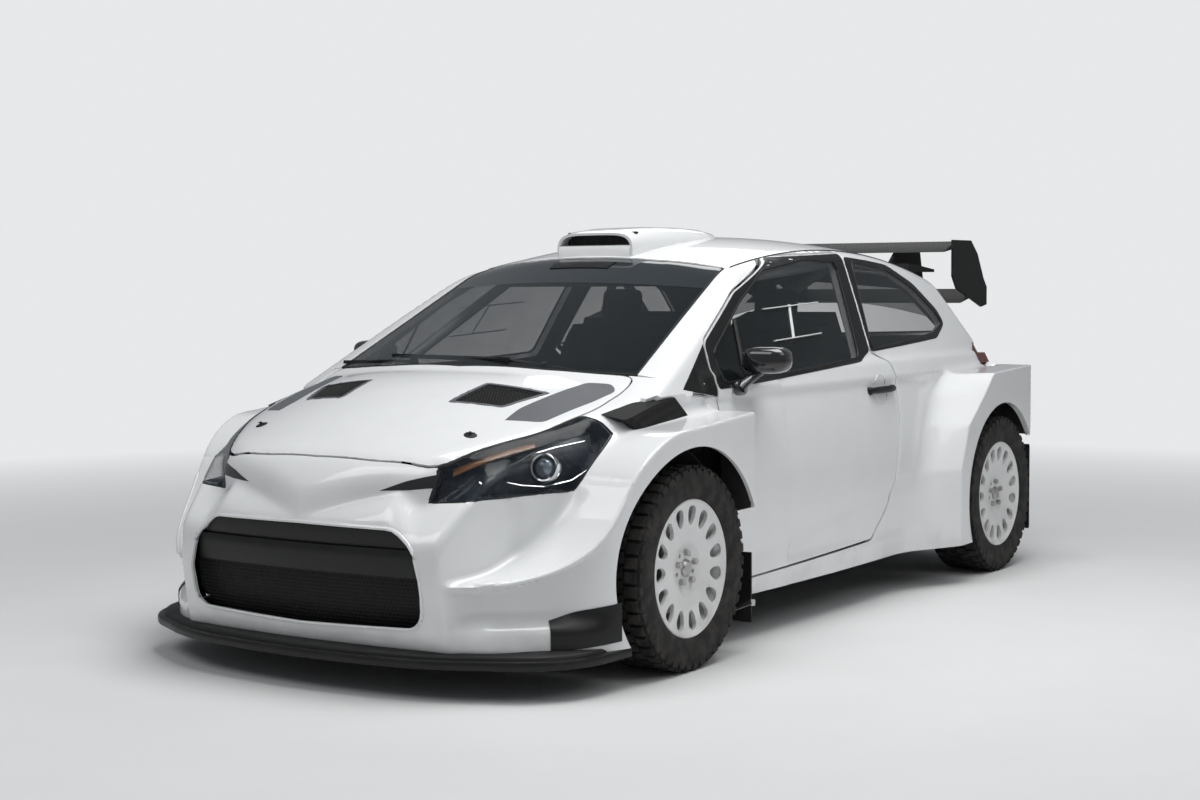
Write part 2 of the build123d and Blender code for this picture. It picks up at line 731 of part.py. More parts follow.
def make_grille():
    """The mouth's insert: a plain band above a field of narrow slats."""
    outline = both_sides(mouth_opening)
    outer = end_region(nose_profile, nose_plan_radius, grille_inset)
    inner = end_region(nose_profile, nose_plan_radius, grille_inset + grille_plate)
    reach = (-far * 2, mouth_depth_y)
    plate = (outer - inner) & rear_view(outline, *reach)
    field = rear_view(outline, *reach, -grille_lip)
    for row in range(slat_rows):
        z = slat_low_z + row * slat_pitch
        plate = plate - (field & block(-far, far, *reach, z, z + slat_pitch - slat_bar))
    return only(plate)


def make_front_splitter():
    """The flat splitter under the nose."""
    return only(plan_view(both_sides(splitter_half), splitter_low_z, splitter_top_z))


def make_door():
    """The left door, as thick as its panel and its window frame, without the glass."""
    solid = (outer_narrow & side_view(door_outline(), half_cut, far)) - door_thickness()
    roof = block(-roof_half_width - gap, roof_half_width + gap, -far, far, roof_low_z, far)
    for cut in (side_view(door_glass, half_cut, far), roof, windscreen_zone(gap)):
        solid = solid - cut
    return only(solid)


def make_door_glass():
    """The pane of the left door."""
    return only(glass_skin & side_view(door_glass, half_cut, far))


# Small parts of the doors

def make_mirror():
    """The left mirror: a rounded shell on a short foot at the front corner of the door's glass."""
    shell_piece = Pos(*mirror_centre) * Box(*mirror_size)
    shell_piece = fillet(shell_piece.edges(), mirror_round)
    foot = loft([Pos(*place) * Rectangle(*size) for place, size in mirror_foot])
    return only(shell_piece + foot)


def make_door_handle():
    """The left door's handle, a bar with round ends."""
    grip = block(*handle_x, *handle_y, *handle_z)
    return only(fillet(grip.edges().filter_by(Axis.Z), handle_round))


# Wheels, hubs and what carries them

def make_tyre(axle_y):
    """A tyre with a flat tread, round shoulders and a full side wall."""
    r, bead, inner, outer = tyre_radius, bead_radius, tyre_inner_x, tyre_outer_x
    s, lip, drop = tyre_shoulder, tyre_lip, tyre_shoulder_drop
    middle = (rim_radius + r) / 2
    section = Curve() + [
        Line((bead, inner + bead_toe), (rim_radius, inner + tyre_seat)),
        ThreePointArc((rim_radius, inner + tyre_seat), (middle, inner), (r - s, inner + lip)),
        ThreePointArc((r - s, inner + lip), (r - drop, inner + lip + 5), (r, inner + lip + s)),
        Line((r, inner + lip + s), (r, outer - lip - s)),
        ThreePointArc((r, outer - lip - s), (r - drop, outer - lip - 5), (r - s, outer - lip)),
        ThreePointArc((r - s, outer - lip), (middle, outer), (rim_radius, outer - tyre_seat)),
        Line((rim_radius, outer - tyre_seat), (bead, outer - bead_toe)),
        Polyline((bead, outer - bead_toe), (bead, outer - bead_toe - tyre_wall),
                 (r - tread_wall, outer - lip - tread_wall + 2), (r - tread_wall, inner + lip + tread_wall - 2),
                 (bead, inner + bead_toe + tyre_wall), (bead, inner + bead_toe)),
    ]
    profile = make_face((Plane.XY * section).edges())
    return only(revolve(wheel_section(axle_y) * profile, Axis((0, axle_y, hub_z), (1, 0, 0)), 360))


def wheel_section(axle_y):
    """The plane of a wheel's section: radius upwards, then x."""
    return Plane(origin=(0, axle_y, hub_z), x_dir=(0, 0, 1), z_dir=(0, 1, 0))


def make_rim(axle_y):
    """A cast gravel rim: a deep barrel and a dished face with round-ended windows all the way round."""
    inner, outer = tyre_inner_x, tyre_outer_x
    face_x = outer - rim_face_inset
    r, bead, back_x = rim_radius, bead_radius, hub_face_x - 10
    section = [(r, inner + 7.5), (bead, inner + 13.5), (bead, outer - 13.5), (r, outer - 7.5), (r - 5, outer - 7.5),
               (bead - 12, face_x), (window_circle, face_x - 4), (96, face_x + 2), (dish_radius, face_x - 4),
               (bore_land, face_x - 18), (centre_bore, face_x - 18), (centre_bore, back_x), (78, back_x),
               (window_circle, face_x - 16), (bead - barrel_wall, face_x - 26), (bead - barrel_wall, inner + 22),
               (r - 8, inner + 7.5)]
    profile = make_face(Polyline(*section, section[0]).edges())
    solid = revolve(wheel_section(axle_y) * profile, Axis((0, axle_y, hub_z), (1, 0, 0)), 360)
    slot = Pos(window_circle, 0) * SlotOverall(window_length, window_width)
    window = extrude(Plane.XY.offset(hub_face_x - window_depth / 2) * slot, window_depth)
    lug = Pos(lug_circle, 0, hub_face_x + 18) * Cylinder(lug_radius, 2 * lug_depth)
    place = Plane(origin=(0, axle_y, hub_z), x_dir=(0, 0, 1), z_dir=(1, 0, 0))
    windows = [place * Rot(0, 0, 360 / window_count * i) * window for i in range(window_count)]
    lugs = [place * Rot(0, 0, 360 / lug_count * i) * lug for i in range(lug_count)]
    return only(solid - Compound(children=[*windows, *lugs]))


def make_hub(axle_y):
    """The hub flange with its brake disc and bell, and the nose that centres the rim."""
    bore = spindle_radius + spindle_fit
    back_x = hub_face_x - 10
    flange = across(axle_y, hub_z, disc_x + disc_thickness, back_x, hub_radius, bore)
    nose_piece = across(axle_y, hub_z, back_x, hub_face_x + hub_nose, centre_bore - 0.5)
    disc = across(axle_y, hub_z, disc_x, disc_x + disc_thickness, disc_radius, bore)
    return only(flange + nose_piece + disc)


def kingpin_point(z):
    """x of the steering axis at a height."""
    (x0, z0), (x1, z1) = kingpin_low, kingpin_high
    return x0 + (x1 - x0) * (z - z0) / (z1 - z0)


def pin_along_kingpin(axle_y, radius, low_z, high_z):
    """A round pin on the steering axis between two heights."""
    return tube((kingpin_point(low_z), axle_y, low_z), (kingpin_point(high_z), axle_y, high_z), radius)


def make_knuckle(axle_y, caliper_side, steered):
    """The left upright with its spindle, brake caliper and strut, and a steering arm if it is steered."""
    y, strut_top_z = axle_y, kingpin_high[1]
    back_x, front_x = [disc_x - depth for depth in upright_depth]
    spindle = across(y, hub_z, disc_x - 40, hub_face_x - 12, spindle_radius)
    upright = block(back_x, front_x, y - upright_half, y + upright_half, kingpin_low[1] + 8, upright_top_z)
    strut = pin_along_kingpin(y, strut_radius, strut_low_z, strut_top_z)
    rod = pin_along_kingpin(y, rod_radius, strut_top_z, rod_top_z)
    coil = pin_along_kingpin(y, spring_radius, spring_low_z, strut_top_z - 8)
    clamp_x = kingpin_point(clamp_low_z + 40) - clamp_reach
    clamp = block(clamp_x, front_x, y - clamp_half, y + clamp_half, clamp_low_z, upright_top_z)
    caliper_y = y + caliper_side * caliper_offset
    near_y, far_y = min(y, caliper_y), max(y, caliper_y)
    bracket = block(disc_x - caliper_reach, disc_x - 10, near_y, far_y, hub_z - 30, hub_z + 30)
    caliper = block(disc_x - caliper_reach, disc_x + disc_thickness + caliper_reach, caliper_y - caliper_half,
                    caliper_y + caliper_half, hub_z - caliper_height, hub_z + caliper_height)
    slot = across(y, hub_z, disc_x - caliper_slot, disc_x + disc_thickness + caliper_slot, disc_radius + 8)
    piece = spindle + upright + strut + coil + rod + clamp + bracket + (caliper - slot)
    if steered:
        arm_x = [disc_x - depth for depth in arm_depth]
        arm = block(*arm_x, y, y + arm_offset, *arm_z)
        piece = (piece + arm) - pin_along_kingpin(y, pin_radius + spindle_fit, pin_low_z, pin_high_z)
    return only(piece)


def make_half_shaft(axle_y):
    """The left drive shaft with its two joints."""
    shaft = across(axle_y, hub_z, *shaft_x, shaft_radius)
    for x0, x1, radius in shaft_joints:
        shaft = shaft + across(axle_y, hub_z, x0, x1, radius)
    return only(shaft)


# Rear wing

def wing_section(y0, y1, z, thickness, tilt):
    """The side view of one wing element: flat below and crowned above, its rear edge raised by the tilt."""
    chord = y1 - y0
    lower = Line((y0, z), (y1, z + tilt))
    upper = ThreePointArc((y1, z + tilt), (y0 + chord * 0.4, z + tilt * 0.4 + thickness), (y0, z))
    return make_face((Curve() + [lower, upper]).edges())


def make_rear_wing():
    """The two-element wing with its end plates, inner fins and the spoiler that carries it."""
    half = wing_tip_x + wing_plate / 2
    wing = side_view(spoiler_outline, -spoiler_half, spoiler_half)
    for x in (-wing_tip_x, wing_tip_x):
        wing = wing + side_view(plate_outline, x - wing_plate / 2, x + wing_plate / 2)
    for element in wing_elements:
        wing = wing + extrude(Plane.YZ.offset(-half) * wing_section(*element), 2 * half)
    for x in (-wing_fin_x, wing_fin_x):
        wing = wing + side_view(wing_fin, x - wing_fin_wall / 2, x + wing_fin_wall / 2)
    return only(wing - glasshouse() - roof_edge())


def roof_edge():
    """The space ahead of the tailgate's hinge line, kept free of what the tailgate carries."""
    return block(-far, far, 0, tailgate_hinge_y + 8, 1000, 1600)


# Seats, cage, dashboard and controls

def make_seat(x):
    """A bucket seat: one deep shell with side wings and shoulder wings."""
    half = seat_half
    shell_piece = side_view(seat_side, x - half, x + half) + side_view(seat_wing, x - half, x + half)
    space = side_view(seat_space, x - half + seat_wall, x + half - seat_wall)
    front = [(x - half, 0), (x - half, seat_waist_z), (x - seat_head_half, seat_top_z),
             (x + seat_head_half, seat_top_z), (x + half, seat_waist_z), (x + half, 0)]
    return only((shell_piece - space) & rear_view(front, -500, 700))


def make_roll_cage():
    """The bars of the cage: main hoop, roof hoop, windscreen bars, braces and door bars."""
    brace_foot = (cage_brace_knee[0], cage_brace_knee[1], rear_floor_z + floor_wall + cage_radius)
    left_paths = [
        [cage_hoop_foot, cage_hoop_waist, cage_hoop_top],
        [cage_roof_rear, cage_roof_front, cage_pillar_low, cage_pillar_knee, cage_pillar_foot],
        [cage_hoop_top, cage_brace_knee, brace_foot],
        cage_door_bar,
    ]
    paths = left_paths + [[other_side(point) for point in path] for path in left_paths]
    hoop_x, hoop_y, _ = cage_hoop_waist
    for point in (cage_hoop_top, cage_roof_front, (hoop_x, hoop_y, cage_cross_z)):
        paths.append([other_side(point), point])
    paths.append([(-hoop_x, hoop_y, cage_brace_low_z), cage_hoop_top])
    paths.append([other_side(cage_roof_rear), cage_roof_front])
    return only(bar_frame(paths, cage_radius))


def make_dashboard():
    """The padded top and the bin below it, from pillar bar to pillar bar, with the steering column."""
    return only((side_view(dashboard_side, -dashboard_half, dashboard_half) & cabin) + make_steering_column())


def make_steering_wheel():
    """A three-spoke wheel, dished towards the driver."""
    angle = math.radians(wheel_rake)
    plane = Plane(origin=wheel_centre, x_dir=(1, 0, 0), z_dir=(0, math.cos(angle), math.sin(angle)))
    wheel = plane * Torus(steering_radius, steering_grip)
    spoke = Pos(steering_radius / 2, 0, -spoke_drop) * Box(steering_radius, spoke_width, spoke_wall)
    for turn in (0, 180, 270):
        wheel = wheel + plane * Rot(0, 0, turn) * spoke
    return only(wheel + plane * Pos(0, 0, -boss_drop) * Cylinder(boss_radius, boss_length))


def make_steering_column():
    """The fixed column, from behind the wheel's boss down through the dashboard."""
    angle = math.radians(wheel_rake)
    away = Vector(0, -math.cos(angle), -math.sin(angle))
    start = Vector(*wheel_centre) + away * column_start
    return tube(start, start + away * column_length, column_radius)


# Chassis under the skin

def make_floor_pan():
    """The floor with its tunnel, the firewall behind the engine and the scuttle under the windscreen."""
    slab = cabin & block(-far, far, frame_rear_y, riser_y, floor_z, floor_top_z)
    riser = cabin & block(-far, far, riser_y, riser_y + floor_wall, floor_z, rear_floor_z + floor_wall)
    rear = cabin & block(-far, far, riser_y, floor_rear_y, rear_floor_z, rear_floor_z + floor_wall)
    tunnel = block(-tunnel_half, tunnel_half, firewall_y, tunnel_rear_y, floor_top_z, tunnel_top_z)
    firewall = cabin & block(-far, far, frame_rear_y, firewall_y, floor_z, far)
    firewall = firewall & front_body(door_wall, lid_wall)
    scuttle = front_body(0, scuttle_depth) - front_body(0, scuttle_depth + floor_wall)
    scuttle = scuttle & block(-scuttle_half, scuttle_half, scuttle_front_y, firewall_y, scuttle_low_z, far)
    scuttle = scuttle - bonnet_zone(gap)
    return only((slab + riser + rear + tunnel + firewall + scuttle) - wheel_arches() - turrets())


def make_wheel_housing(axle_y):
    """The left liner over a wheel: a half drum, its inner wall and the turret over the strut."""
    ring = across(axle_y, hub_z, liner_x, liner_top_x, arch_radius + liner_wall, arch_radius)
    wall = across(axle_y, hub_z, liner_x, liner_x + liner_wall, arch_radius + liner_wall)
    doorway = block(0, far, axle_y - liner_door_half, axle_y + liner_door_half, 0, liner_door_z)
    above_floor = block(0, far, -far * 2, far * 2, floor_z, far)
    housing = ((ring + wall) & above_floor) - doorway
    turret = pin_along_kingpin(axle_y, turret_radius, turret_low_z, turret_top_z)
    cavity = pin_along_kingpin(axle_y, turret_radius - turret_wall, turret_low_z - 10, turret_top_z - turret_wall)
    drum = across(axle_y, hub_z, liner_x, flare_x, arch_radius)
    bore = pin_along_kingpin(axle_y, rod_radius + spindle_fit, turret_top_z - 20, turret_top_z + 20)
    return only(((housing + (turret - drum)) - cavity) - bore)


def make_front_frame():
    """The two rails beside the engine, the beams between them, the under-tray and the steering rack."""
    frame = block(*frame_cross_box) + (engine_bay & block(*bumper_beam))
    for box in frame_side_boxes:
        side = block(*box)
        frame = frame + side + mirrored(side)
    (low_z, high_z), end = tray_z, frame_rear_y
    tray = [(tray_front_y, low_z), (end, high_z), (end, high_z + tray_wall), (tray_front_y, low_z + tray_wall)]
    rack_y = front_axle_y + rack_offset
    rack = across(rack_y, rack_z, -rack_half, rack_half, rack_radius)
    boots = across(rack_y, rack_z, -boot_half, boot_half, boot_radius)
    return only(frame + side_view(tray, -tray_half, tray_half) + rack + boots)


def make_engine_block():
    """The engine and its gearbox as one plain block on the cross beam."""
    return block(*engine_boxes[0]) + block(*engine_boxes[1])


def make_radiator():
    """The radiator behind the grille."""
    return block(*radiator_box)


def make_front_suspension():
    """The left lower arm with the bar it swings on and its ball pin."""
    y, ball_x = front_axle_y, kingpin_point(ball_z)
    bush_x, bush_z = front_bush
    first, last = front_bush_ends
    arm = tube((bush_x, y + first, bush_z), (bush_x, y + last, bush_z), front_bush_radius)
    for root in front_arm_roots:
        arm = arm + bar_frame([[(bush_x, y + root, front_root_z), (ball_x, y, ball_z)]], arm_radius)
    foot = Pos(ball_x, y, ball_z) * Cylinder(ball_radius, ball_height)
    return only(arm + foot + pin_along_kingpin(y, pin_radius, ball_z, pin_high_z - 4))


def make_rear_suspension():
    """The rear frame between the wheels with the differential as one block, and the arms on both sides."""
    y = rear_axle_y
    frame = None
    for x0, x1, y0, y1, z0, z1 in rear_cross_boxes:
        box = block(x0, x1, y + y0, y + y1, z0, z1)
        frame = box if frame is None else frame + box
    bush_x, bush_z = rear_bush
    first, last = rear_bush_ends
    side = tube((bush_x, y + first, bush_z), (bush_x, y + last, bush_z), rear_bush_radius)
    for x0, x1, y0, y1, z0, z1 in rear_side_boxes:
        side = side + block(x0, x1, y + y0, y + y1, z0, z1)
    for (x0, y0), (x1, y1) in rear_arms:
        side = side + bar_frame([[(x0, y + y0, rear_arm_z), (x1, y + y1, rear_arm_z)]], rear_arm_radius)
    return only(frame + side + mirrored(side))


def make_front_flap():
    """The left flap behind the front wheel, on the edge of the arch."""
    y = front_axle_y + arch_radius - 2
    flap = block(*front_flap_x, y, y + flap_wall, flap_low_z, front_flap_z)
    return only(flap - make_front_fender() - make_wheel_housing(front_axle_y))


def make_rear_flap():
    """The left flap behind the rear wheel, hung from the liner."""
    y = rear_axle_y + tyre_radius + rear_flap_gap
    flap = block(*rear_flap_x, y, y + flap_wall, flap_low_z, hub_z + arch_radius)
    return only(flap & across(rear_axle_y, hub_z, 0, far, arch_radius))


# Nodes

whole_nodes = {
    "floor_pan": make_floor_pan,
    "roof_panel": make_roof_panel,
    "roof_scoop": make_roof_scoop,
    "windshield": make_windshield,
    "front_bumper": make_front_bumper,
    "front_splitter": make_front_splitter,
    "grille": make_grille,
    "rear_bumper": make_rear_bumper,
    "rear_diffuser": make_rear_diffuser,
    "front_frame": make_front_frame,
    "engine_block": make_engine_block,
    "radiator": make_radiator,
    "rear_suspension": make_rear_suspension,
    "roll_cage": make_roll_cage,
    "dashboard": make_dashboard,
    "steering_wheel": make_steering_wheel,
    "tailgate": make_tailgate,
    "rear_window": make_rear_window,
    "rear_wing": make_rear_wing,
    "bonnet": make_bonnet,
}

# Nodes that hold the left pieces named here and their mirror images
paired_nodes = {
    "mud_flaps": (make_front_flap, make_rear_flap),
    "quarter_windows": (make_quarter_window,),
    "headlamps": (make_headlamp,),
    "headlamp_covers": (make_headlamp_cover,),
    "fender_ducts": (make_fender_duct,),
    "tail_lamps": (make_tail_lamp,),
    "bonnet_vents": (make_bonnet_vent,),
    "seats": (lambda: make_seat(seat_x),),
    "front_suspension": (make_front_suspension,),
    "half_shafts": (lambda: make_half_shaft(front_axle_y),),
    "rear_uprights": (lambda: make_knuckle(rear_axle_y, 1, False),),
    "wheel_housings": (lambda: make_wheel_housing(front_axle_y), lambda: make_wheel_housing(rear_axle_y)),
}

# Left pieces, each with a node for either side
sided_nodes = {
    "body_side": make_body_side,
    "front_fender": make_front_fender,
    "door": make_door,
    "door_glass": make_door_glass,
    "mirror": make_mirror,
    "door_handle": make_door_handle,
    "knuckle": lambda: make_knuckle(front_axle_y, -1, True),
}

wheel_nodes = {"tyre": make_tyre, "rim": make_rim, "hub": make_hub}


def save(name, shape):
    """Writes one node."""
    shape = shape if isinstance(shape, Compound) else Compound(children=[shape])
    export_step(shape, f"parts/{name}.step")


def main():
    for name, make in whole_nodes.items():
        save(name, make())
    for name, makers in paired_nodes.items():
        lefts = [make() for make in makers]
        save(name, Compound(children=[solid for left in lefts for solid in both(left).solids()]))
    for name, make in sided_nodes.items():
        left = make()
        save(f"{name}_left", left)
        save(f"{name}_right", mirrored(left))
    for end, axle_y in axle_lines.items():
        for name, make in wheel_nodes.items():
            left = make(axle_y)
            save(f"{name}_{end}_left", left)
            save(f"{name}_{end}_right", mirrored(left))


main()
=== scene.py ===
# %% [markdown]
# # A rally car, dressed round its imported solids
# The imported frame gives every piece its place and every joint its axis. This lesson gives the car its looks:
# the body panels are cut from one smooth skin, the wheels, lamps and grille get their small forms, and every
# surface gets a material made of nodes. Lengths inside the form functions are millimetres, as on the
# drawing board, and become metres when a mesh is made.

import bpy
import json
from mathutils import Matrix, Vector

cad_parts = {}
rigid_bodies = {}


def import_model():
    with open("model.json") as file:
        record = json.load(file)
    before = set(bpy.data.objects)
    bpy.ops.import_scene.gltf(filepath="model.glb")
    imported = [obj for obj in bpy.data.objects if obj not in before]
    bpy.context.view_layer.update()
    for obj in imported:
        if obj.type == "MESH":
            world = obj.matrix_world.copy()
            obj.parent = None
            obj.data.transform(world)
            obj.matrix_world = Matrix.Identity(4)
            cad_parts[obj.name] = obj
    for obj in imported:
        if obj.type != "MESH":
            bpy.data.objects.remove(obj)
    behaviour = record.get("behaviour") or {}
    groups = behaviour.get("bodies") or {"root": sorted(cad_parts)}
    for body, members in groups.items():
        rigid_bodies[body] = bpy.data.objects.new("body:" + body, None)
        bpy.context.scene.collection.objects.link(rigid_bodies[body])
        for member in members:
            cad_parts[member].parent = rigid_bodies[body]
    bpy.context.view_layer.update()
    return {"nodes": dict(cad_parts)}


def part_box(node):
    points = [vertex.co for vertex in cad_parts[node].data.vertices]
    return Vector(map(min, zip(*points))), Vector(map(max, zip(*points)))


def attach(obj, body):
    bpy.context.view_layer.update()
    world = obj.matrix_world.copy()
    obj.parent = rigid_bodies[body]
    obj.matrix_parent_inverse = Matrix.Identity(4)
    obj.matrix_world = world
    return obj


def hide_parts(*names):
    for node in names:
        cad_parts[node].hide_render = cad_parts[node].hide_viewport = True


for leftover in list(bpy.data.objects):
    bpy.data.objects.remove(leftover)
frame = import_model()

import json
import math

import bmesh
import numpy as np
from mathutils import Matrix, Vector
from mathutils.geometry import delaunay_2d_cdt

nodes = frame["nodes"]
scene = bpy.context.scene
MM = 0.001
SIDES = (("left", 1), ("right", -1))
ENDS = ("front", "rear")

# %% [markdown]
# ## The camera
# The photograph was taken from the car's left front, at about chest height. Four measured cues (tyre size,
# wheelbase, symmetry and the width over the arches) fix where the camera stood and its focal length.

# %% Camera
CAMERA_PLACE = (4.0093, -6.3353, 1.2205)
CAMERA_AZIMUTH = 33.756
CAMERA_PITCH = -3.478
CAMERA_ROLL = -0.329
CAMERA_LENS = 58.0


def add_object(name, data):
    """A new object in the scene that shows a mesh, a lamp or a camera."""
    made = bpy.data.objects.new(name, data)
    scene.collection.objects.link(made)
    return made


camera = add_object("camera", bpy.data.cameras.new("camera"))
camera.data.sensor_width = 36
camera.data.lens = CAMERA_LENS
turn = Matrix.Rotation(math.radians(CAMERA_AZIMUTH), 4, "Z")
tilt = Matrix.Rotation(math.radians(90 + CAMERA_PITCH), 4, "X")
roll = Matrix.Rotation(math.radians(CAMERA_ROLL), 4, "Z")
camera.matrix_world = Matrix.Translation(CAMERA_PLACE) @ turn @ tilt @ roll
scene.camera = camera

# %% [markdown]
# ## The skin of the body
# A car's skin is a few large, gently curved surfaces that run into each other with soft radii. Each surface
# is written as a function that is negative inside the car and positive outside, about in millimetres. A
# smooth minimum joins two forms with a fillet, and a smooth maximum rounds the edge where they cut each
# other. Every panel is then a stretch of the same skin, so panels always line up.

# %% Forms that the skin is made from
def blend_max(a, b, radius):
    """The larger of two fields, with the edge between them rounded."""
    mix = np.maximum(radius - np.abs(a - b), 0) / radius
    return np.maximum(a, b) + mix * mix * radius / 4


def blend_min(a, b, radius):
    """The smaller of two fields, with the corner between them filled."""
    return -blend_max(-a, -b, radius)


def arc_through(a, b, c):
    """Centre and radius of the circle through three points."""
    (ax, ay), (bx, by), (cx, cy) = a, b, c
    d = 2 * (ax * (by - cy) + bx * (cy - ay) + cx * (ay - by))
    sa, sb, sc = ax * ax + ay * ay, bx * bx + by * by, cx * cx + cy * cy
    ux = (sa * (by - cy) + sb * (cy - ay) + sc * (ay - by)) / d
    uy = (sa * (cx - bx) + sb * (ax - cx) + sc * (bx - ax)) / d
    return ux, uy, math.hypot(ax - ux, ay - uy)


def side_form(points, plan_radius):
    """A body side that is an arc in section and an arc in plan."""
    cx, cz, radius = arc_through(*points)
    pivot = points[1][0] - plan_radius
    return lambda x, y, z: np.hypot(np.hypot(x - pivot, y) + pivot - cx, z - cz) - radius


def crown_form(y_peak, z_peak, profile_radius, across_radius):
    """A roof or a bonnet, crowned along and across the car."""
    def form(x, y, z):
        along = np.hypot(y - y_peak, z - z_peak + profile_radius) - profile_radius
        return np.hypot(x, along + across_radius) - across_radius
    return form


def screen_form(foot_y, foot_z, slope, bow):
    """A raked screen, straight along its slope and bowed across."""
    ny, nz = -math.sin(math.radians(slope)), math.cos(math.radians(slope))
    return lambda x, y, z: np.hypot(x, (y - foot_y) * ny + (z - foot_z) * nz + bow) - bow


def end_form(points, plan_radius):
    """The nose or the tail: an arc in profile, and an arc in plan."""
    outward = 1 if points[1][0] > 0 else -1
    cy, cz, radius = arc_through(*points)
    pivot = points[1][0] - outward * plan_radius

    def form(x, y, z):
        beyond = outward * (pivot + outward * np.hypot(x, y - pivot) - cy)
        return np.hypot(np.maximum(beyond, 0), z - cz) - radius
    return form


def plan_form(points, soften):
    """The inside of a convex outline seen from above, with its corners softened."""
    edges = []
    for (x0, y0), (x1, y1) in zip(points, points[1:]):
        length = math.hypot(x1 - x0, y1 - y0)
        edges.append((x0, y0, (y1 - y0) / length, -(x1 - x0) / length))

    def form(x, y, z):
        sides = [(x - x0) * nx + (y - y0) * ny for x0, y0, nx, ny in edges]
        top = np.maximum.reduce(sides)
        return top + soften * np.log(sum(np.exp((side - top) / soften) for side in sides))
    return form


def smooth_step(value):
    """0 below 0, 1 above 1, and a soft ramp between."""
    value = np.clip(value, 0, 1)
    return value * value * (3 - 2 * value)


def arc_points(a, b, c, count=12):
    """Points along the arc through three points."""
    cx, cy, radius = arc_through(a, b, c)
    angles = [math.atan2(p[1] - cy, p[0] - cx) for p in (a, b, c)]
    start, middle, end = angles
    for _ in range(2):
        if (middle - start) * (end - middle) < 0:
            end += math.tau if middle > start else -math.tau
    steps = np.linspace(start, end, count)
    return [(cx + radius * math.cos(s), cy + radius * math.sin(s)) for s in steps]


# %% The main surfaces
side_low = side_form([(815, 120), (845, 520), (775, 905)], 18000)
side_up = side_form([(796, 850), (697, 1090), (556, 1410)], 16000)
roof_top = crown_form(420, 1400, 4000, 2500)
bonnet_top = crown_form(-529, 1016, 3150, 2500)
windscreen = screen_form(-1184, 947, 25, 2800)
rear_screen = screen_form(1330, 1292, -44, 4500)
nose_end = end_form([(-1890, 730), (-2003, 500), (-1955, 120)], 3200)
tail_end = end_form([(1730, 905), (1868, 560), (1835, 200)], 3800)
narrow_plan = plan_form([(0, -1940), (300, -1920), (430, -1875), (600, -1706), (724, -1462), (804, -1100),
                         (864, -400)], 8)
wide_plan = plan_form([(440, -2060), (600, -1908), (740, -1812), (862, -1622), (917, -1430), (940, -1200),
                       (940, -700)], 7)
mouth_plan = plan_form([(0, -2150), (480, -2100), (560, -1850), (600, -1690), (600, -1400)], 6)
beak_plan = plan_form([(0, -2003), (80, -2001), (170, -1975), (290, -1912), (430, -1872), (600, -1706)], 8)

BELT_Z = 905
AXLE_Z = 325
FRONT_AXLE_Y, REAR_AXLE_Y = -1182.5, 1328.5
ARCH_RADIUS = 384
BUMPER_SPLIT_Y = -1500
FENDER_END_Y = -832
FLARE_END_Y = 1640
LIP_DROP = 5

# Radii of the rounded edges, and of the filled corners between two forms.
SHOULDER_ROUND, PLAN_ROUND, NOSE_ROUND = 110, 70, 40
BEAK_ROUND, KEEL_ROUND, BEAK_TOP_ROUND, BEAK_FILL = 24, 14, 60, 22
MOUTH_ROUND, CREST_ROUND, MOUTH_FILL = 14, 26, 12
ARCH_ROUND, SHELF_ROUND, END_ROUND, ARCH_FILL = 60, 8, 5, 26
ROOF_ROUND, SCREENS_ROUND, PILLAR_ROUND = 34, 10, 12
TAIL_ROUND, BELT_ROUND, BELT_FILL, FLARE_FILL, FRONT_FILL = 40, 8, 36, 40, 10

shelf_line = [(-700, 808), (-832, 798), *arc_points((-1290, 760), (-1445, 682), (-1545, 552)),
              *arc_points((-1545, 552), (-1650, 437), (-1830, 352))[1:], (-2080, 325)]
shelf_y, shelf_z = (np.array(column) for column in zip(*reversed(shelf_line)))
fine_y = np.arange(-2080, -700, 5.0)
fine_z = np.interp(fine_y, shelf_y, shelf_z)
spread = np.hanning(23) / np.hanning(23).sum()
fine_z[11:-11] = np.convolve(fine_z, spread, "valid")
fine_slope = np.gradient(fine_z, 5.0)


def shelf_height(y):
    """Height of the front arch's shelf at a place along the car."""
    return np.interp(y, fine_y, fine_z)


def shelf_form(x, y, z):
    """Everything under the front arch's shelf."""
    slope = np.interp(y, fine_y, fine_slope)
    return (z - shelf_height(y)) / np.sqrt(1 + slope * slope)


def mouth_crest(x, y, z):
    """The sloping top of the frame round the grille."""
    return (z - 520 + 70 * smooth_step((x - 320) / 110) - 0.95 * (y + 1995)) / 1.38


def beak_keel(x, y, z):
    """The V-shaped lower edge of the beak."""
    return (520 + 88 * (x / 275) ** 1.25 - z) * 0.9


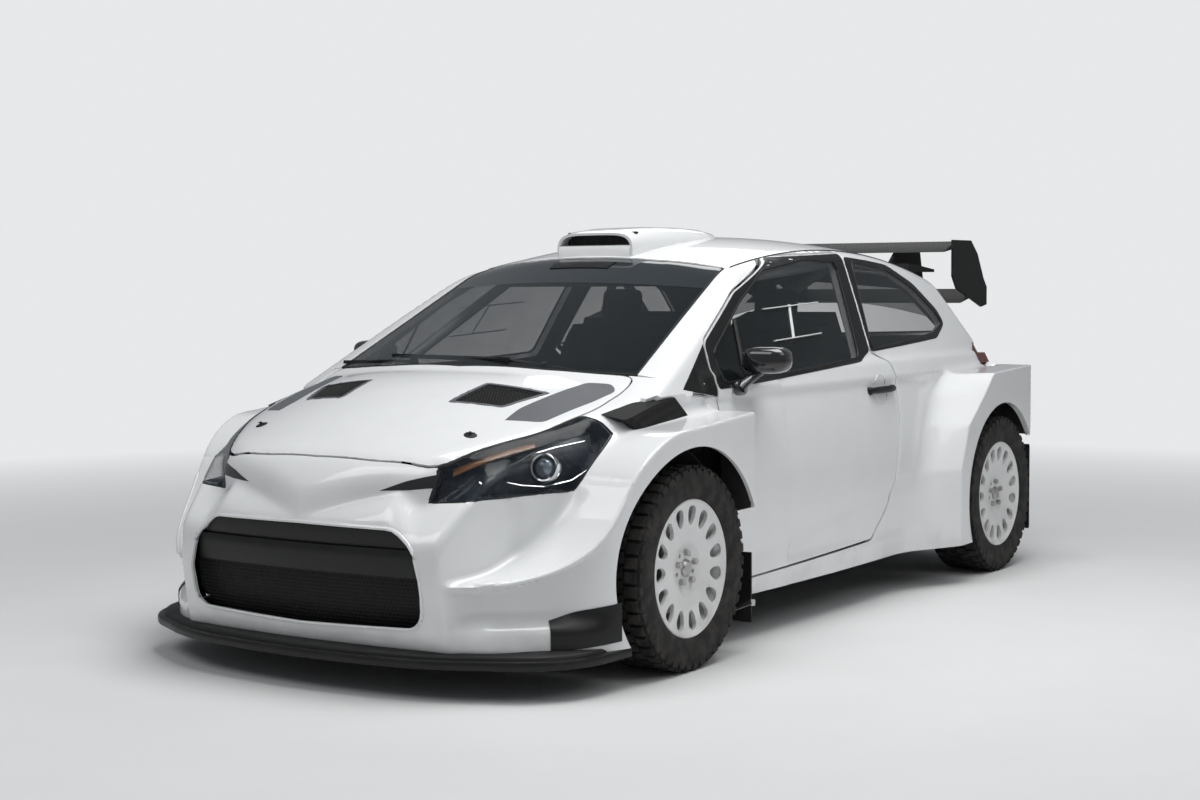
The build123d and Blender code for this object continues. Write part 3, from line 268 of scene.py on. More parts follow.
def front_form(x, y, z):
    """The front of the car: narrow body, beak, grille frame and wide arches."""
    shoulder = blend_max(side_low(x, y, np.minimum(z, BELT_Z)), bonnet_top(x, y, z), SHOULDER_ROUND)
    narrow = blend_max(shoulder, narrow_plan(x, y, z), PLAN_ROUND)
    narrow = blend_max(narrow, nose_end(x, y, z), NOSE_ROUND)
    beak = blend_max(beak_plan(x, y, z), nose_end(x, y, z), BEAK_ROUND)
    beak = blend_max(beak, beak_keel(x, y, z), KEEL_ROUND)
    beak = blend_max(beak, bonnet_top(x, y, z), BEAK_TOP_ROUND)
    mouth = blend_max(nose_end(x, y, z), mouth_plan(x, y, z), MOUTH_ROUND)
    mouth = blend_max(mouth, mouth_crest(x, y, z), CREST_ROUND)
    mouth = np.maximum(mouth, bonnet_top(x, y, z) + 30)
    scoop = 50 * smooth_step((shelf_height(y) - LIP_DROP - z) / 38) * smooth_step((z - 190) / 60)
    scoop = scoop * smooth_step((-1560 - y) / 160) * smooth_step((x - 455) / 60)
    wide = blend_max(wide_plan(x, y, z) + scoop, nose_end(x, y, z) + scoop, ARCH_ROUND)
    wide = blend_max(wide, shelf_form(x, y, z), SHELF_ROUND)
    wide = blend_max(wide, y - FENDER_END_Y, END_ROUND)
    front = blend_min(blend_min(narrow, beak, BEAK_FILL), mouth, MOUTH_FILL)
    return blend_min(front, wide, ARCH_FILL)


FLARE_SECTIONS = [(160, 540, 854), (465, 640, 860), (640, 765, 938), (753, 905, 1091), (848, 1120, 1203)]
flare_z, flare_start, flare_ridge = (np.array(column) for column in zip(*FLARE_SECTIONS))


def flare_top(y):
    """Height of the rear arch's flat top."""
    return 836 + 20 * np.clip((y - 1110) / 530, 0, 1)


def rear_flare(x, y, z):
    """The wide rear arch: a ramp out of the door, a flat face, a flat top and a flat end."""
    start, ridge = np.interp(z, flare_z, flare_start), np.interp(z, flare_z, flare_ridge)
    run = np.clip((y - start) / (ridge - start), -1, 1.0)
    width = 800 + 137 * run - 15 * np.clip((y - ridge) / (FLARE_END_Y - ridge), 0, 1)
    steep = 137 / (ridge - start) * (run < 1)
    face = (x - width) / np.sqrt(1 + steep * steep)
    flare = blend_max(face, z - flare_top(y), END_ROUND)
    return np.maximum(blend_max(flare, y - FLARE_END_Y, END_ROUND), 450 - y)


def door_crease(x, y, z):
    """The fold low on the door, as a hollow under a rising line."""
    line = 300 + 0.14 * (y + 700)
    under = smooth_step((line - z) / 70) * smooth_step((z - 215) / 60)
    along = smooth_step((y + 840) / 60) * smooth_step((700 - y) / 200)
    return 13 * under * along


def skin(x, y, z):
    """The whole outer skin of the car."""
    x = np.abs(x)
    upper = blend_max(side_up(x, y, z), roof_top(x, y, z), ROOF_ROUND)
    screens = blend_max(windscreen(x, y, z), rear_screen(x, y, z), SCREENS_ROUND)
    upper = blend_max(upper, screens, PILLAR_ROUND)
    upper = np.maximum(upper, 850 + 50 * smooth_step((y - 1300) / 300) - z)
    lower = side_low(x, y, z) + door_crease(x, y, z)
    lower = blend_max(blend_max(lower, tail_end(x, y, z), TAIL_ROUND), z - BELT_Z, BELT_ROUND)
    lower = np.maximum(lower, -440 - y)
    side = side_low(x, y, np.minimum(z, BELT_Z)) + door_crease(x, y, z)
    middle = np.maximum(side, np.maximum(z - BELT_Z, -860 - y))
    lower = np.minimum(lower, blend_max(middle, y + 380, END_ROUND))
    body = blend_min(upper, lower, BELT_FILL)
    body = blend_min(body, rear_flare(x, y, z), FLARE_FILL)
    front = np.maximum(front_form(x, y, z), y + 400)
    return blend_min(body, front, FRONT_FILL)


print("height of the arch's shelf above the front axle:", round(float(shelf_height(FRONT_AXLE_Y)), 1))


# %% [markdown]
# ## Cutting panels from the skin
# A panel is drawn as a loop of points on the skin. Seen along a direction that meets the whole panel at a
# fair angle, the loop becomes a flat outline. Points inside it are joined by a Delaunay triangulation and
# then dropped onto the skin along that direction. The nose and the tail wrap round too far for one straight
# direction, so their rays fall inwards on an upright axis.

# %% Looks
def field_normal(form, points):
    """Outward direction of a form at each point."""
    step = 0.5
    gradient = []
    for axis in range(3):
        shift = np.zeros(3)
        shift[axis] = step
        ahead, behind = (points + shift).T, (points - shift).T
        gradient.append(form(*ahead) - form(*behind))
    gradient = np.array(gradient).T
    return gradient / np.maximum(np.linalg.norm(gradient, axis=1, keepdims=True), 1e-9)


def snap(points, form=skin, rounds=6):
    """Moves points that are near the skin onto it."""
    points = np.array(points, float)
    for _ in range(rounds):
        points = points - form(*points.T)[:, None] * field_normal(form, points) * 0.9
    return points


class Look:
    """A direction to look along, with flat coordinates across it."""

    def __init__(self, direction, start=1600.0, depth=2400.0):
        self.direction = np.array(direction, float) / np.linalg.norm(direction)
        helper = np.array((0, 0, 1.0)) if abs(self.direction[2]) < 0.9 else np.array((0, 1.0, 0))
        self.right = np.cross(self.direction, helper)
        self.right /= np.linalg.norm(self.right)
        self.up = np.cross(self.right, self.direction)
        self.start, self.depth = start, depth

    def flat(self, points):
        return np.stack([points @ self.right, points @ self.up], axis=1)

    def rays(self, flat):
        origin = flat[:, :1] * self.right + flat[:, 1:] * self.up - self.direction * self.start
        return origin, np.broadcast_to(self.direction, origin.shape)


class RoundLook:
    """Rays that fall inwards on an upright axis, from a little above: -1 for the nose, 1 for the tail."""
    scale, start, depth = 950.0, 1400.0, 1100.0
    fall = math.tan(math.radians(13))

    def __init__(self, end, centre_y):
        self.end, self.centre_y = end, centre_y

    def flat(self, points):
        x, y, z = points.T
        reach = np.hypot(x, y - self.centre_y)
        return np.stack([np.arctan2(x, self.end * (y - self.centre_y)) * self.scale, z - reach * self.fall], axis=1)

    def rays(self, flat):
        angle = flat[:, 0] / self.scale
        inward = np.stack([-np.sin(angle), -self.end * np.cos(angle), np.full_like(angle, -self.fall)], axis=1)
        axis = np.stack([np.zeros_like(angle), np.full_like(angle, self.centre_y), flat[:, 1]], axis=1)
        return axis - inward * self.start, inward


# %% [markdown]
# A ray is followed in steps until it is inside the form, and the crossing is then found by halving. Lines
# that are drawn flat become lines on the skin in the same way.

# %% Lines on the skin
def drop(look, flat, form=skin, step=24.0):
    """The first point of the skin that each ray meets."""
    origin, direction = look.rays(flat)
    low = np.full(len(flat), np.nan)
    high = np.full(len(flat), np.nan)
    open_rays = np.arange(len(flat))
    before = np.zeros(len(flat))
    for reach in np.arange(0, look.depth, step):
        at = origin[open_rays] + direction[open_rays] * reach
        inside = form(*at.T) < 0
        low[open_rays[inside]], high[open_rays[inside]] = before[open_rays[inside]], reach
        before[open_rays] = reach
        open_rays = open_rays[~inside]
        if not len(open_rays):
            break
    for _ in range(16):
        middle = (low + high) / 2
        inside = form(*(origin + direction * middle[:, None]).T) < 0
        high = np.where(inside, middle, high)
        low = np.where(inside, low, middle)
    return origin + direction * high[:, None]


def dense(points, pitch=11.0):
    """The same line with points close together."""
    points = [np.array(p, float) for p in points]
    line = [points[0]]
    for start, end in zip(points, points[1:]):
        count = max(1, round(np.linalg.norm(end - start) / pitch))
        line += [start + (end - start) * i / count for i in range(1, count + 1)]
    return np.array(line)


FROM_LEFT, FROM_ABOVE = Look((-1, 0, 0)), Look((0, 0, -1))
FROM_FRONT, FROM_REAR = Look((0, 1, 0), 2400, 3600), Look((0, -1, 0), 2400, 3600)
OBLIQUE_LEFT, REAR_QUARTER = Look((-0.84, 0, -0.54)), Look((-0.75, -0.35, -0.55), 2600, 3600)
FROM_REAR_ABOVE = Look((0, -0.8, -0.6), 2600, 3600)
ROUND_NOSE, ROUND_TAIL = RoundLook(-1, -1000.0), RoundLook(1, 1000.0)


def on_look(look, form, points):
    """Points that are laid on a form along a look."""
    return drop(look, look.flat(np.array(points, float)), form)


def layer(look, place):
    """A function that lays a flat line on a form; place turns flat coordinates into a point."""
    return lambda points, form=skin: on_look(look, form, [place(u, v) for u, v in dense(points)])


on_side = layer(FROM_LEFT, lambda y, z: (0, y, z))
on_top = layer(FROM_ABOVE, lambda x, y: (x, y, 0))
on_front = layer(FROM_FRONT, lambda x, z: (x, 0, z))
on_rear = layer(FROM_REAR, lambda x, z: (x, 0, z))


def near(points, form=skin):
    """A line given as (x, y, z) near the skin, snapped onto it."""
    return snap(dense(points), form)


def sunk_skin(depth):
    """The skin moved inwards."""
    return lambda x, y, z: skin(x, y, z) + depth


def circle(y, z, radius, start, end, pitch=9.0):
    """Points of an arc in the side view, from one angle to another in degrees."""
    count = max(2, round(abs(end - start) * math.pi / 180 * radius / pitch))
    return [(y + radius * math.cos(math.radians(a)), z + radius * math.sin(math.radians(a)))
            for a in np.linspace(start, end, count)]


# %% [markdown]
# The triangulation keeps the outline, the holes and any crease lines as edges. Its inner points form a
# triangular grid, which is finer along a ridge, where the skin folds sharply.

# %% Triangles inside an outline
def inside_loop(flat, loop):
    """Which points lie inside a closed outline."""
    x, y = flat.T
    result = np.zeros(len(flat), bool)
    x0, y0 = loop[:, 0], loop[:, 1]
    x1, y1 = np.roll(x0, -1), np.roll(y0, -1)
    for ax, ay, bx, by in zip(x0, y0, x1, y1):
        if ay != by:
            result ^= ((ay > y) != (by > y)) & (x < (bx - ax) * (y - ay) / (by - ay) + ax)
    return result


def loop_distance(flat, samples):
    """Distance from each point to the nearest sample, by blocks."""
    nearest = np.full(len(flat), 1e9)
    for block in np.array_split(samples, max(1, len(samples) // 64)):
        gap = np.hypot(flat[:, :1] - block[:, 0], flat[:, 1:] - block[:, 1]).min(axis=1)
        nearest = np.minimum(nearest, gap)
    return nearest


def make_object(name, vertices, faces, smooth_angle=38):
    """A mesh object from millimetre points, smooth except at sharp folds."""
    mesh = bpy.data.meshes.new(name)
    mesh.from_pydata((np.asarray(vertices) * MM).tolist(), [], faces)
    mesh.validate()
    mesh.shade_smooth()
    mesh.set_sharp_from_angle(angle=math.radians(smooth_angle))
    return add_object(name, mesh)


RIDGE_REACH, RIDGE_PITCH = 17.0, 5.0


def triangulate(look, outline, holes, lines, ridges, pitch):
    """Flat triangles inside an outline, outside its holes, along its lines and finer near its ridges."""
    loops = [look.flat(loop) for loop in (outline, *holes)]
    strands = [look.flat(line) for line in lines]
    samples = np.concatenate(loops + strands)

    def within(points):
        """Which points are inside the outline and outside the holes."""
        keep = inside_loop(points, loops[0])
        for hole in loops[1:]:
            keep &= ~inside_loop(points, hole)
        return keep

    low, high = loops[0].min(axis=0), loops[0].max(axis=0)
    columns = np.arange(low[0] + pitch / 2, high[0], pitch)
    rows = np.arange(low[1] + pitch / 2, high[1], pitch * 0.87)
    grid = np.array([(u + (i % 2) * pitch / 2, v) for i, v in enumerate(rows) for u in columns])
    grid = grid[within(grid)]
    grid = grid[loop_distance(grid, samples) > pitch * 0.55]
    if ridges:
        ridge = np.concatenate([look.flat(line) for line in ridges])
        grid = grid[loop_distance(grid, ridge) > RIDGE_REACH + 2]
        low, high = ridge.min(axis=0) - RIDGE_REACH, ridge.max(axis=0) + RIDGE_REACH
        fine = np.array([(u, v) for v in np.arange(low[1], high[1], RIDGE_PITCH)
                         for u in np.arange(low[0], high[0], RIDGE_PITCH)])
        fine = fine[(loop_distance(fine, ridge) < RIDGE_REACH) & within(fine)]
        fine = fine[loop_distance(fine, samples) > RIDGE_PITCH * 0.6]
        grid = np.concatenate([grid, fine])
    edges, start = [], 0
    for line in loops + strands:
        count = len(line)
        edges += [(start + i, start + i + 1) for i in range(count - 1)]
        if start < sum(map(len, loops)):
            edges.append((start + count - 1, start))
        start += count
    result = delaunay_2d_cdt([Vector(p) for p in (*samples, *grid)], edges, [], 0, 1e-4)
    points = np.array([tuple(p) for p in result[0]])
    triangles = np.array([tuple(f) for f in result[2]])
    return points, triangles[within(points[triangles].mean(axis=1))], result[3], len(samples)


# %% [markdown]
# The rim of a panel is turned down a little, as pressed steel is, so that the shut lines catch the light. The
# sheet gets its thickness from a second, inner layer.

# %% The panel maker
def panel(name, look, outline, holes=(), lines=(), ridges=(), pitch=13.0, wall=14.0, turn_in=1.6, form=skin,
          lift=0.0, lined=False):
    """A closed sheet of the skin inside an outline, with its rim turned in; lined gives its inside a second
    material."""
    points, triangles, sources, fixed = triangulate(look, outline, holes, lines, ridges, pitch)
    exact = np.concatenate([outline, *holes, *lines])
    outer = drop(look, points, form)
    for index, origins in enumerate(sources):
        known = [o for o in origins if o < fixed]
        if known:
            outer[index] = exact[known[0]]
    missing = np.isnan(outer).any(axis=1)
    triangles = triangles[~missing[triangles].any(axis=1)]
    used = np.unique(triangles)
    remap = np.full(len(outer), -1)
    remap[used] = np.arange(len(used))
    outer, triangles = outer[used], remap[triangles]
    a, b, c = outer[triangles[0]]
    normal = field_normal(form, outer)
    if np.dot(np.cross(b - a, c - a), normal[triangles[0][0]]) < 0:
        triangles = triangles[:, ::-1]
    edges = dict.fromkeys((t[i], t[(i + 1) % 3]) for t in triangles.tolist() for i in range(3))
    rim = [(i, j) for i, j in edges if (j, i) not in edges]
    on_rim = np.unique(np.array(rim).ravel())
    inner = outer - normal * wall
    outer = outer + normal * lift
    outer[on_rim] -= normal[on_rim] * turn_in
    count = len(outer)
    faces = triangles.tolist() + (triangles[:, ::-1] + count).tolist()
    faces += [(j, i, i + count, j + count) for i, j in rim]
    made = make_object(name, np.concatenate([outer, inner]), faces)
    if lined and len(made.data.polygons) == len(faces):
        lining = np.zeros(len(faces), np.int32)
        lining[len(triangles):2 * len(triangles)] = 1
        made.data.polygons.foreach_set("material_index", lining)
    return made


def mirror_copy(made, name):
    """The same piece on the right side of the car."""
    mesh = made.data.copy()
    mesh.name = name
    mesh.transform(Matrix.Scale(-1, 4, (1, 0, 0)))
    mesh.flip_normals()
    return add_object(name, mesh)


# %% Outlines
SAME_POINT = 1.5


def loop_of(*parts):
    """One closed outline from lines that follow each other."""
    line = np.concatenate(parts)
    return line[~(np.linalg.norm(line - np.roll(line, 1, axis=0), axis=1) < SAME_POINT)]


def whole(*parts):
    """A closed outline from lines on the left half and their mirror image."""
    half = loop_of(*parts) if len(parts) > 1 else parts[0]
    return loop_of(half, half[::-1] * (-1, 1, 1))


def grown(points, amount):
    """An open flat line, moved to the right of its direction by an amount, with its corners kept sharp."""
    points = np.array(points, float)
    steps = np.diff(points, axis=0)
    steps /= np.linalg.norm(steps, axis=1, keepdims=True)
    sideways = np.stack([steps[:, 1], -steps[:, 0]], axis=1)
    first = np.concatenate([sideways[:1], sideways])
    last = np.concatenate([sideways, sideways[-1:]])
    middle = first + last
    middle /= np.linalg.norm(middle, axis=1, keepdims=True)
    reach = amount / np.maximum((middle * first).sum(axis=1), 0.3)
    return points + middle * reach[:, None]


def softened(points, radius=30, steps=4):
    """An open line whose corners are cut by short curves."""
    points = [np.array(p, float) for p in points]
    line = [points[0]]
    for before, corner, after in zip(points, points[1:], points[2:]):
        into, out = before - corner, after - corner
        reach = min(radius, np.linalg.norm(into) * 0.45, np.linalg.norm(out) * 0.45)
        start = corner + into / np.linalg.norm(into) * reach
        end = corner + out / np.linalg.norm(out) * reach
        for t in np.linspace(0, 1, steps + 1):
            line.append(start * (1 - t) ** 2 + corner * 2 * t * (1 - t) + end * t * t)
    line.append(points[-1])
    return [tuple(p) for p in line]


# %% [markdown]
# Dressing a piece puts it on its body, hides the imported nodes that it stands for, and gives it its materials.
# Most pieces come in pairs, so a left-hand one is mirrored and both are dressed together.

# %% Dressing
def dress(made, body, hidden, slot_name, *materials):
    """Puts a piece on its body, hides the nodes that it stands for, and gives it its finish."""
    for material in materials:
        made.data.materials.append(material)
    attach(made, body)
    if hidden:
        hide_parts(*hidden)


def pair(body, *hidden):
    """The body and the hidden nodes of a left and of a right piece; {} in a name stands for the side."""
    return [(body.format(side), [node.format(side) for node in hidden]) for side, _ in SIDES]


def both_sides(made, rows, slot_name, *materials):
    """Dresses a left-hand piece and its mirror image."""
    other = mirror_copy(made, made.name.replace("left", "right"))
    for piece, (body, hidden) in zip((made, other), rows):
        dress(piece, body, hidden, slot_name, *materials)

# %% [markdown]
# ## The body panels
# Neighbouring panels share a line, and each stops a few millimetres short of it. The bonnet's outline is
# drawn from above, the doors' from the side, and the glass lines along the car, which is how a stylist
# would draw them.

# %% Shut lines
BONNET = [(0, -1899), (235, -1890), (430, -1850), (600, -1560), (652, -1340), (642, -1180), (635, -1079),
          (500, -1125), (330, -1163), (0, -1192)]
VENT = [(227, -1527), (407, -1495), (469, -1335), (245, -1355)]
MOUTH = [(0, 505), (363, 502), (440, 440), (470, 330), (464, 240), (430, 203), (0, 192)]
DOOR_FRONT = [(-740, 222), (-803, 831), (-770, 1012), (-754, 1030), (-467, 1187), (-73, 1313)]
DOOR_TOP = (484, 1331)
DOOR_REAR = [(400, 948), (531, 905), (553, 847), (524, 660), (399, 360), (271, 250)]
DOOR_GLASS = [(-752, 882), (-736, 984), (-455, 1150), (-205, 1262), (140, 1303), (400, 1295), (290, 930)]
QUARTER = [(430, 958), (545, 1297), (870, 1265), (1080, 1190), (1240, 1085), (1262, 1040), (1130, 1003)]
LAMP_A, LAMP_B, LAMP_S = (416, -1881, 570), (700, -1530, 590), (712, -1500, 622)
LAMP_C, LAMP_D = (745, -1360, 772), (700, -1372, 800)
SILL_Z = 160


def closed(points, radius=12):
    """A closed flat outline with softened corners."""
    middle = tuple((np.array(points[0]) + np.array(points[1])) / 2)
    return softened([middle, *points[1:], points[0], middle], radius)


def opening(points, lay, radius=12):
    """A closed outline laid on the skin, as a hole or as a panel's rim."""
    return loop_of(lay(closed(points, radius)))


bonnet_line = softened(BONNET, 60)
beside_bonnet = [tuple(p) for p in grown(bonnet_line, 6)]
nose_line = [p for p in beside_bonnet if p[0] < 436 and p[1] < -1700]
lamp_top_line = [p for p in beside_bonnet if p[0] >= 430 and p[1] < -1395]
wing_line = [p for p in beside_bonnet if p[1] >= -1395 and p[1] < -1060 and p[0] > 600]
lamp_top = on_top([nose_line[-1], *lamp_top_line])
lamp_inner = near([lamp_top[0], (428, -1864, 620), LAMP_A])
lamp_lower = loop_of(on_front([(416, 570), (700, 590)]), near([LAMP_B, LAMP_S]))
lamp_outer = near([lamp_lower[-1], (728, -1430, 695), LAMP_C])
lamp_rear = near([LAMP_C, LAMP_D, lamp_top[-1]])
split_top = on_top([(lamp_lower[-1][0] + 1, BUMPER_SPLIT_Y), (892, BUMPER_SPLIT_Y)])
split_side = on_side([(BUMPER_SPLIT_Y, shelf_height(BUMPER_SPLIT_Y) - 14), (BUMPER_SPLIT_Y, 541)])
print("lamp corners", lamp_inner[-1].round(), lamp_lower[-1].round(), split_top[-1].round(), split_side[0].round())


# %% Crease lines
def lip_line(y0, y1):
    """The edge of the front arch's shelf, where the mesh is finer."""
    return on_look(FROM_LEFT, skin, [(0, y, shelf_height(y) - LIP_DROP) for y in np.arange(y0, y1, 6.0)])


# %% Front bumper
arch_front = on_side(circle(FRONT_AXLE_Y, AXLE_Z, ARCH_RADIUS, 145.8, 211.4))
bumper_bottom = near([arch_front[-1], (862, -1622, 125), (740, -1800, 125), (600, -1866, 125),
                      (440, -1921, 125), (0, -1957, 125)])
bumper_half = loop_of(on_top(nose_line), lamp_inner, lamp_lower, split_top, split_side, arch_front, bumper_bottom)
bumper_outline = loop_of(bumper_half, bumper_half[::-1][1:-1] * (-1, 1, 1))
mouth_hole = whole(on_front(softened(MOUTH, 26)))
lip = lip_line(-1876, -1512)
print("points on the lip:", len(lip), "from", lip[0].round(), "to", lip[-1].round())
bumper_ridges = [lip, lip * (-1, 1, 1)]
bumper = panel("front_bumper_skin", ROUND_NOSE, bumper_outline, [mouth_hole], bumper_ridges, bumper_ridges, 12.0,
               lined=True)

# %% Bonnet
vent_hole = opening(VENT, on_top, 10)
bonnet_rim = whole(on_top(bonnet_line))
bonnet = panel("bonnet_skin", FROM_ABOVE, bonnet_rim, [vent_hole, vent_hole[::-1] * (-1, 1, 1)], wall=12.0,
               lined=True)

# %% Front wings
arch_over = on_side(circle(FRONT_AXLE_Y, AXLE_Z, ARCH_RADIUS, -25.6, 145.2))
wing_rear = on_side([(-811, 838), (-748, 215), (-740, SILL_Z)])
wing_top = on_top(wing_line)
pillar_foot = near([wing_top[-1], (690, -1048, 905), wing_rear[0]])
wing_outline = loop_of(wing_top, pillar_foot, wing_rear, on_side([(-741, SILL_Z), (-836, SILL_Z)]), arch_over,
                       split_side[::-1], split_top[::-1], lamp_outer, lamp_rear)
steps = []
for y in (FENDER_END_Y - 1.2, FENDER_END_Y + 1.2):
    steps.append(on_side([(y, SILL_Z + 8), (y, 770)]))
wing_left = panel("front_wing_left", OBLIQUE_LEFT, wing_outline, [], steps, [lip_line(-1498, -838)], 12.0,
                  lined=True)
print("bumper, bonnet, wing faces:", [len(o.data.polygons) for o in (bumper, bonnet, wing_left)])

# %% Body sides
TAIL_EDGE = [(636, 562), (636, 858)]
LAMP_BOTTOM, LAMP_TOP = 858, 959
door_gap_line = [(-811, 838), (-778, 1015), (-758, 1037), (-469, 1194), (-74, 1320), (492, 1338), (411, 955),
                 (539, 910), (561, 848), (532, 657), (407, 356), (277, 242), (-747, 214)]
side_bottom = near([(815, -739, SILL_Z), (812, 560, SILL_Z), (934, 850, SILL_Z), (934, 982, SILL_Z)])
arch_rear = on_side(circle(REAR_AXLE_Y, AXLE_Z, ARCH_RADIUS, 205.4, 35.9))
flare_end = near([(918, 1638, 556), (800, 1641, 562)])
rear_low = on_rear([(800, 562), (760, 562), (636, 562)])
rear_edge = on_rear(TAIL_EDGE)
lamp_bottom = near([rear_edge[-1], (760, 1640, LAMP_BOTTOM), (790, 1541, LAMP_BOTTOM)])
lamp_front = near([lamp_bottom[-1], (770, 1526, LAMP_TOP)])
rear_high = near([*on_rear([(634, LAMP_TOP), (511, 1250)]), (506, 1328, 1284)])
lamp_over = near([lamp_front[-1], (700, 1600, LAMP_TOP), rear_high[0]])
roof_side = near([(506, 1326, 1284), *on_top([(543, 1300), (543, -320)])])
screen_side = near([(544, -338, 1290), (590, -710, 1110), (634, -1065, 921)])
screen_foot = near([screen_side[-1], (690, -1046, 905), (775, -1049, 900)])
wing_meet = on_side([(-1049, 904), (-812, 838)])
door_hole = on_side(softened(door_gap_line, 30))
side_outline = loop_of(side_bottom, arch_rear, flare_end, rear_low, rear_edge, lamp_bottom, lamp_front, lamp_over,
                       rear_high, roof_side, screen_side, screen_foot, wing_meet, door_hole,
                       on_side([(-742, 214), (-739, SILL_Z)]))
quarter_hole = opening(QUARTER, on_side, 26)
ridge_line = near([(935, r, z) for z, r in zip(flare_z, flare_ridge)])
ledge_line = near([(925, y, flare_top(y)) for y in np.arange(1215, 1638, 6.0)])
side_left = panel("body_side_skin_left", REAR_QUARTER, side_outline, [quarter_hole], [], [ridge_line, ledge_line], 13.0,
                  wall=26.0, lined=True)
print("side faces:", len(side_left.data.polygons))

# %% Doors
door_shape = softened([*DOOR_FRONT, DOOR_TOP, *DOOR_REAR, DOOR_FRONT[0]], 24)
glass_shape = opening(DOOR_GLASS, on_side, 24)
crease = on_side([(-700, 284), (-326, 296), (220, 352)])
door_left = panel("door_skin_left", FROM_LEFT, loop_of(on_side(door_shape)), [glass_shape], [], [crease], 13.0,
                  wall=30.0, lined=True)

# %% Roof, tailgate and rear bumper
header = near([(0, -398, 1315), (270, -386, 1309), (538, -334, 1288)])
roof_outline = whole(header, on_top([(538, -330), (538, 1318), (500, 1323), (0, 1323)]))
roof = panel("roof_skin", FROM_ABOVE, roof_outline, pitch=22.0, wall=14.0, lined=True)

hatch_outline = whole(on_top([(0, 1330), (494, 1330)]),
                      on_rear(softened([(499, 1310), (504, 1256), (629, 961), (629, 563), (0, 563)], 24)))
SCREEN = [(0, 1236), (430, 1204), (545, 1000), (0, 985)]
rear_glass_hole = whole(on_rear(softened(SCREEN, 30)))
hatch = panel("tailgate_skin", FROM_REAR_ABOVE, hatch_outline, [rear_glass_hole], pitch=15.0, wall=24.0, lined=True)

tail_low = near([(800, 1642, 232), (790, 1700, 232), (700, 1800, 232), (500, 1815, 232), (0, 1838, 232)])
tail_high = near([(0, 1868, 556), (500, 1838, 556), (700, 1800, 556), (806, 1642, 556)])
tail_side = near([tail_high[-1], tail_low[0]])
rear_outline = whole(tail_low[::-1], tail_side[::-1][1:-1], tail_high[::-1])
rear_bumper = panel("rear_bumper_skin", ROUND_TAIL, rear_outline, pitch=16.0, wall=14.0, lined=True)
print("door, roof, tailgate, rear bumper faces:", [len(o.data.polygons) for o in (door_left, roof, hatch, rear_bumper)])

# %% [markdown]
# ## Finishes
# A material is a small network of nodes. Arithmetic on surface patterns is easier to read as arithmetic, so
# one class wraps a node's output and lets Python's operators add the Math nodes. Patterns read Object
# coordinates, which are metres on this car, so a scale of 1000 has a period of a millimetre.

# %% Wires, trees and finishes
class Wire:
    """A node's output, on which Python's arithmetic works."""

    def __init__(self, owner, socket):
        self.owner, self.socket = owner, socket

    def maths(self, operation, first, second):
        return self.owner.node("ShaderNodeMath", {"operation": operation}, {0: first, 1: second})

    def __add__(self, other):
        return self.maths("ADD", self, other)

    def __radd__(self, other):
        return self.maths("ADD", other, self)

    def __sub__(self, other):
        return self.maths("SUBTRACT", self, other)

    def __rsub__(self, other):
        return self.maths("SUBTRACT", other, self)

    def __mul__(self, other):
        return self.maths("MULTIPLY", self, other)

    def over(self, low, high):
        """0 below low, 1 above high and a ramp between; low may be the larger."""
        return self.owner.node("ShaderNodeMapRange", {"clamp": True},
                               {"Value": self, "From Min": low, "From Max": high, "To Min": 0.0, "To Max": 1.0})


class Tree:
    """A node tree; node() adds a node with its settings and inputs, which are wires or values."""

    def __init__(self, tree):
        self.tree = tree

    def node(self, kind, settings=None, inputs=None, output=0):
        made = self.tree.nodes.new(kind)
        for key, value in (settings or {}).items():
            setattr(made, key, value)
        for key, value in (inputs or {}).items():
            if isinstance(value, Wire):
                self.tree.links.new(value.socket, made.inputs[key])
            else:
                made.inputs[key].default_value = value
        return Wire(self, made.outputs[output])


class Finish(Tree):
    """A material with one Principled shader and the nodes that feed it."""

    def __init__(self, name, **constants):
        self.material = bpy.data.materials.new(name)
        self.material.use_nodes = True
        super().__init__(self.material.node_tree)
        self.shader = self.tree.nodes["Principled BSDF"]
        for key, value in constants.items():
            self.shader.inputs[key.replace("_", " ")].default_value = value
        self.place = None

    def coordinates(self):
        """Object coordinates, in metres."""
        if self.place is None:
            self.place = self.node("ShaderNodeTexCoord", output="Object")
        return self.place

    def axis(self, letter):
        """One Object coordinate."""
        return self.node("ShaderNodeSeparateXYZ", {}, {0: self.coordinates()}, "XYZ".index(letter))

    def noise(self, scale, detail=3.0, stretch=(1, 1, 1)):
        """Cloudy noise between 0 and 1, its grain in cycles per metre."""
        vector = self.node("ShaderNodeMapping", {}, {"Vector": self.coordinates(), "Scale": stretch})
        return self.node("ShaderNodeTexNoise", {}, {"Vector": vector, "Scale": scale, "Detail": detail})

    def blend(self, mask, first, second):
        """Two colours mixed by a mask."""
        return self.node("ShaderNodeMix", {"data_type": "RGBA"}, {0: mask, 6: first, 7: second}, 2)

    def bump(self, height, distance):
        return self.node("ShaderNodeBump", {}, {"Height": height, "Distance": distance, "Strength": 1.0})

    def feed(self, **links):
        """Links varying values to the shader's sockets."""
        for key, wire in links.items():
            self.tree.links.new(wire.socket, self.shader.inputs[key.replace("_", " ")])


def shade(value):
    """A grey."""
    return (value, value, value, 1.0)

# %% [markdown]
# The body is plain white paint under a clear coat. Real paint is never quite even: the coat has a faint
# ripple, and road dust settles low on the sills and behind the wheels, where it also takes the gloss off.

